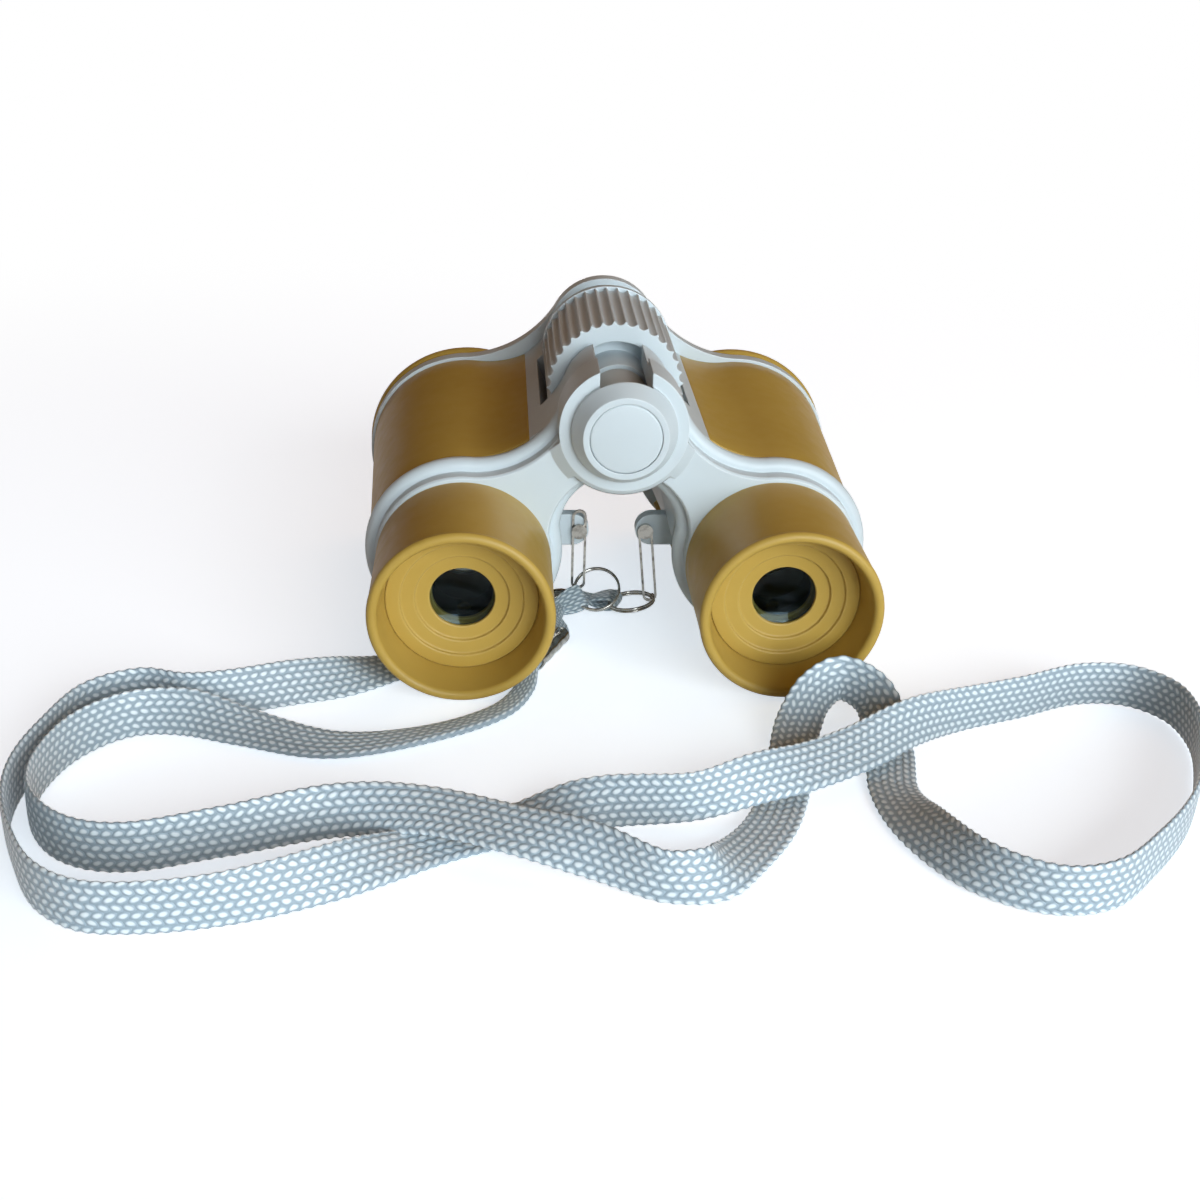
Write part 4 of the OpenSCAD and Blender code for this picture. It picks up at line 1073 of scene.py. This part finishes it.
@dataclass
class NeckStrap:
    """The braided strap: one length on the table, a fold round each split ring and a crimp on each end.

    Attributes:
        rings: The split rings, left and right.
        folds: Where each fold sits on its ring, in degrees.
        gathered: Width and thickness where the braid is gathered, in millimetres.
        step: Distance between stations.
        crimps: Route rows where the crimps begin.
        layer: How far out from the wire, and how far off its plane, a layer of a fold runs.
        fold_widths: Width of a fold round the wire and at its open end.
        fold_thick: Thickness of a fold.
        fold_edges: Edges of a fold round the wire.
        thin: Stations to each point of a path; not used.
    """

    rings: dict[Side, SplitRing]
    folds: dict[Side, float]
    gathered: tuple[float, float] = (2.6, 2.0)
    step: float = 0.45
    crimps: dict[Side, int] = field(default_factory=lambda: {Side.LEFT: 2, Side.RIGHT: 75})
    layer: tuple[tuple[float, float], ...] = (
        (4.6, 0.35), (3.6, 0.55), (2.4, 0.95), (1.0, 1.2), (-0.3, 1.25))
    fold_widths: tuple[float, float] = (5.0, 3.4)
    fold_thick: float = 0.85
    fold_edges: int = 10
    thin: int = 4

    def size(self, spread: float) -> tuple[float, float]:
        """Returns the width and thickness at a spread from gathered to slack."""
        return tuple(g + (s - g) * spread for g, s in zip(self.gathered, SLACK))

    def centre(self, row: tuple[float, ...]) -> Vector:
        """Finds the middle of the braid.

        Args:
            row: A route row.

        Returns:
            The middle there, in millimetres.
        """
        width, thick = self.size(row[4])
        bank = math.radians(row[3])
        rise = width / 2 * abs(math.sin(bank)) + thick / 2 * abs(math.cos(bank))
        return Vector((row[0], row[1], row[2] + rise))

    def rows(self) -> list[tuple[float, ...]]:
        """Draws a smooth curve through the route.

        Returns:
            Closely spaced rows along it.
        """
        fine = []
        last = len(ROUTE) - 1
        for i in range(last):
            p0, p1, p2, p3 = (ROUTE[max(0, min(last, k))] for k in range(i - 1, i + 3))
            gaps = [math.sqrt(math.dist(a[:2], b[:2])) for a, b in ((p0, p1), (p1, p2), (p2, p3))]
            h0, h1, h2 = (gap or gaps[1] for gap in gaps)
            count = max(2, round(math.dist(p1[:2], p2[:2]) / self.step))
            for k in range(count):
                s = k / count
                row = []
                for a, b, c, d in zip(p0, p1, p2, p3):
                    leave = h1 * ((b - a) / h0 - (c - a) / (h0 + h1) + (c - b) / h1)
                    reach = h1 * ((c - b) / h1 - (d - b) / (h1 + h2) + (d - c) / h2)
                    row.append((2 * s**3 - 3 * s**2 + 1) * b + (s**3 - 2 * s**2 + s) * leave
                               + (3 * s**2 - 2 * s**3) * c + (s**3 - s**2) * reach)
                row[2] = max(0.0, row[2])
                row[4] = min(1.0, max(0.0, row[4]))
                fine.append(tuple(row))
        return fine + [ROUTE[-1]]

    @staticmethod
    def headings(middles: list[Vector]) -> list[Vector]:
        """Returns the direction of a line of points at each point."""
        pairs = zip(middles[:1] + middles, middles[1:] + middles[-1:])
        return [(after - before).normalized() for before, after in pairs]

    def stations(self) -> list[Station]:
        """Lays the braid along its route.

        Returns:
            The stations of the strap.
        """
        rows = self.rows()
        middles = [self.centre(row) for row in rows]
        made = []
        for row, middle, ahead in zip(rows, middles, self.headings(middles)):
            level = Vector((-ahead.y, ahead.x, 0)).normalized()
            bank = math.radians(row[3])
            across = math.cos(bank) * level + math.sin(bank) * ahead.cross(level)
            made.append(Station(middle, across, ahead.cross(across), *self.size(row[4])))
        return made

    def fold(self, side: Side) -> list[Station]:
        """Lays the braid round the wire of a split ring and back on itself.

        Args:
            side: Which end of the strap.

        Returns:
            Stations from one layer, round the wire, to the other layer.
        """
        ring = self.rings[side]
        place = ring.matrix() @ Matrix.Rotation(math.radians(self.folds[side]), 4, "Z")
        wire = place @ Vector((ring.radius, 0, 0))
        out, wide, up = place.to_3x3().col
        open_end, (near_wire, _), (turn, bend) = self.layer[0][0], self.layer[-2], self.layer[-1]
        angles = [math.pi * i / self.fold_edges for i in range(1, self.fold_edges)]
        round_wire = [(turn - bend * math.sin(a), bend * math.cos(a)) for a in angles]
        flat = [*self.layer, *round_wire, *((a, -b) for a, b in reversed(self.layer))]
        middles = [wire + a * out + b * up for a, b in flat]
        made = []
        for (reach, _), middle, ahead in zip(flat, middles, self.headings(middles)):
            share = min(1.0, max(0.0, (reach - near_wire) / (open_end - near_wire)))
            width = self.fold_widths[0] + (self.fold_widths[1] - self.fold_widths[0]) * share
            made.append(Station(middle, wide, ahead.cross(wide), width, self.fold_thick))
        return made

    def build(self) -> None:
        run = self.stations()
        strap = place_piece(Band(run).mesh(), "neck_strap_braid", Finish.BRAID, "neck_strap", sharp=180)
        for side in Side:
            name = f"{side.word}_braid_fold"
            fold = Band(self.fold(side)).mesh()
            place_piece(fold, name, Finish.BRAID, "neck_strap", sharp=180)
            row = self.crimps[side]
            Crimp(side, self.centre(ROUTE[row]), self.centre(ROUTE[row + 1])).build()
            self.rings[side].build()


@dataclass(frozen=True)
class Lamp:
    """One soft lamp that points at the object.

    Attributes:
        name: Name of the lamp.
        place: Where it hangs, in metres.
        size: Side of the lamp, in metres.
        power: Power in watts.
        colour: Colour, sRGB hex.
        mirrored: Whether it shows in gloss and through glass.
        aim: The point that it faces, in metres.
    """

    name: str
    place: tuple[float, float, float]
    size: float
    power: float
    colour: str
    mirrored: bool = True
    aim: tuple[float, float, float] = (0.0, 0.0, 0.02)

    def hang(self) -> None:
        """Makes the lamp."""
        data = bpy.data.lights.new(self.name, "AREA")
        data.size = self.size
        data.energy = self.power
        data.color = linear(self.colour)[:3]
        lamp = bpy.data.objects.new(self.name, data)
        lamp.location = self.place
        lamp.visible_glossy = lamp.visible_transmission = self.mirrored
        lamp.rotation_mode = "QUATERNION"
        lamp.rotation_quaternion = (Vector(self.aim) - Vector(self.place)).to_track_quat("-Z", "Y")
        bpy.context.scene.collection.objects.link(lamp)


@dataclass
class Studio:
    """Plain table, soft light and the camera at the photograph's angle.

    Attributes:
        eye: Camera position, in millimetres.
        right: Direction to the right of the picture.
        up: Direction up the picture.
        lens: Focal length for the sensor, in millimetres.
        sensor: Width of the sensor.
        lamps: The window in front, the warm ceiling and a pale wall far behind.
        sent_share: Brightness of the background in metal and glass, as a share of what the camera sees.
        table: Colour of the table, sRGB hex.
        table_half: Half of the table's width, in metres.
        table_drop: How far it lies below the object, in metres.
        glow: Colour that the table glows in for the camera.
        glow_power: Strength of that glow.
        fade: Distances from the middle between which the table turns white for the camera, in metres.
        cool: Colour of the room in front, below.
        warm: Colour of the room above, behind.
        warm_way: Direction towards the warm side.
        warm_span: Cosines to that direction between which cool turns to warm.
        sweep: Heights of a ray between which the room shows as the white sweep behind the table.
    """

    eye: tuple[float, float, float] = (-23.1195, -277.36070797, 124.79615329)
    right: tuple[float, float, float] = (0.99752994, -0.06594005, 0.02420613)
    up: tuple[float, float, float] = (0.00481098, 0.40793497, 0.91299831)
    lens: float = 42.83
    sensor: float = 36.0
    lamps: tuple[Lamp, ...] = (
        Lamp("window", (0.5, -1.05, 0.21), size=1.0, power=25.0, colour="#EAF4FA"),
        Lamp("ceiling", (0.3, 0.5, 0.9), size=0.8, power=1.3, colour="#FFBE7E"),
        Lamp("far_wall", (-0.05, 1.05, 0.0), size=0.34, power=12.0, colour="#F2F4F6", mirrored=False))
    sent_share: float = 0.45
    table: str = "#F4F5F5"
    table_half: float = 6.0
    table_drop: float = 0.0003
    glow: str = "#EAF4FE"
    glow_power: float = 0.7
    fade: tuple[float, float] = (0.12, 0.45)
    cool: str = "#76838C"
    warm: str = "#5A3E20"
    warm_way: tuple[float, float, float] = (0.0, 0.7, 0.7)
    warm_span: tuple[float, float] = (-0.7, 0.3)
    sweep: tuple[float, float] = (0.18, 0.04)

    def camera(self) -> None:
        """Sets up the camera."""
        data = bpy.data.cameras.new("camera")
        data.lens = self.lens
        data.sensor_width = self.sensor
        data.clip_start = 0.01
        cam = bpy.data.objects.new("camera", data)
        x, y = Vector(self.right).normalized(), Vector(self.up).normalized()
        turn = Matrix((x, y, x.cross(y))).transposed().to_4x4()
        cam.matrix_world = Matrix.Translation(Vector(self.eye) * MM) @ turn
        bpy.context.scene.collection.objects.link(cam)
        bpy.context.scene.camera = cam

    def seen(self, tree: bpy.types.NodeTree) -> tuple[bpy.types.NodeSocket, bpy.types.NodeSocket]:
        """Marks the rays that show the background: the camera's, and those that metal and glass send on.

        Args:
            tree: The node tree that gets the test.

        Returns:
            A socket that is one for the camera's rays and less for those sent on, and a second socket
            that marks the camera's rays alone.
        """
        ray = add(tree, "LightPath")
        sent = add(tree, "Math", {
            "operation": "MAXIMUM", 0: ray["Is Glossy Ray"], 1: ray["Is Transmission Ray"]})[0]
        pale = add(tree, "Math", {"operation": "MULTIPLY", 0: sent, 1: self.sent_share})[0]
        seen = add(tree, "Math", {"operation": "MAXIMUM", 0: ray["Is Camera Ray"], 1: pale})[0]
        return seen, ray["Is Camera Ray"]

    def floor(self) -> None:
        """Lays the pale table, which shows as white and keeps the soft shadow."""
        bm = bmesh.new()
        low = Matrix.Translation((0, 0, -self.table_drop))
        bmesh.ops.create_grid(bm, x_segments=1, y_segments=1, size=self.table_half, matrix=low)
        mesh = bpy.data.meshes.new("table")
        bm.to_mesh(mesh)
        bm.free()
        table = bpy.data.objects.new("table", mesh)
        bpy.context.scene.collection.objects.link(table)
        material, tree = blank("table_white")
        seen, camera = self.seen(tree)
        white = add(tree, "BsdfDiffuse", {"Color": linear(self.table)})[0]
        power = add(tree, "Math", {"operation": "MULTIPLY", 0: seen, 1: self.glow_power})[0]
        glow = add(tree, "Emission", {"Color": linear(self.glow), "Strength": power})[0]
        near = add(tree, "AddShader", {0: white, 1: glow})[0]
        place = add(tree, "TexCoord")["Object"]
        reach = add(tree, "VectorMath", {"operation": "LENGTH", 0: place})["Value"]
        fade = add(tree, "MapRange", {
            "interpolation_type": "SMOOTHSTEP", "Value": reach, "From Min": self.fade[0],
            "From Max": self.fade[1]})["Result"]
        share = add(tree, "Math", {"operation": "MULTIPLY", 0: fade, 1: camera})[0]
        far = add(tree, "Emission", {"Color": linear("#FFFFFF")})[0]
        both = add(tree, "MixShader", {0: share, 1: near, 2: far})[0]
        add(tree, "OutputMaterial", {"Surface": both})
        mesh.materials.append(material)

    def world(self) -> None:
        """Lights the room: cool from the front, dim and warm from above and behind, white for the camera."""
        world = bpy.data.worlds.new("room")
        world.use_nodes = True
        tree = world.node_tree
        tree.nodes.clear()
        seen, camera = self.seen(tree)
        toward = add(tree, "TexCoord")["Generated"]
        way = add(tree, "VectorMath", {
            "operation": "DOT_PRODUCT", 0: toward, 1: self.warm_way})["Value"]
        share = add(tree, "MapRange", {
            "Value": way, "From Min": self.warm_span[0], "From Max": self.warm_span[1]})["Result"]
        room = add(tree, "Mix", {
            "data_type": "RGBA", "Factor": share, 6: linear(self.cool), 7: linear(self.warm)})[2]
        height = add(tree, "SeparateXYZ", {"Vector": toward})["Z"]
        sweep = add(tree, "MapRange", {
            "interpolation_type": "SMOOTHSTEP", "Value": height, "From Min": self.sweep[0],
            "From Max": self.sweep[1]})["Result"]
        back = add(tree, "Math", {"operation": "MULTIPLY", 0: sweep, 1: seen})[0]
        white = add(tree, "Math", {"operation": "MAXIMUM", 0: back, 1: camera})[0]
        lit = add(tree, "Mix", {
            "data_type": "RGBA", "Factor": white, 6: room, 7: linear("#FFFFFF")})[2]
        sky = add(tree, "Background", {"Color": lit})[0]
        add(tree, "OutputWorld", {"Surface": sky})
        bpy.context.scene.world = world

    def build(self) -> None:
        """Sets up the camera, table and light."""
        self.camera()
        self.floor()
        self.world()
        for lamp in self.lamps:
            lamp.hang()
        bpy.context.scene.view_settings.view_transform = "Standard"


def main() -> None:
    """Builds the studio, then each sub-assembly of the binoculars."""
    logging.basicConfig(level=logging.INFO, format="%(name)s: %(message)s")
    Studio().build()
    rings = {Side.LEFT: SplitRing(Side.LEFT, place=(-3, -6, 5.9), lean=(45, 0, -12)),
             Side.RIGHT: SplitRing(Side.RIGHT, place=(4.4, -5.8, 3), lean=(0, -8, 0))}
    NeckStrap(rings, folds={Side.LEFT: 212.0, Side.RIGHT: 155.0}).build()
    Mouldings().dress()
    HubCaps().build()
    for side in Side:
        EyepieceSteps(side).build()
        EyepieceGlass(side).build()
        BarrelPanel(side).build()


if __name__ == "__main__":
    main()
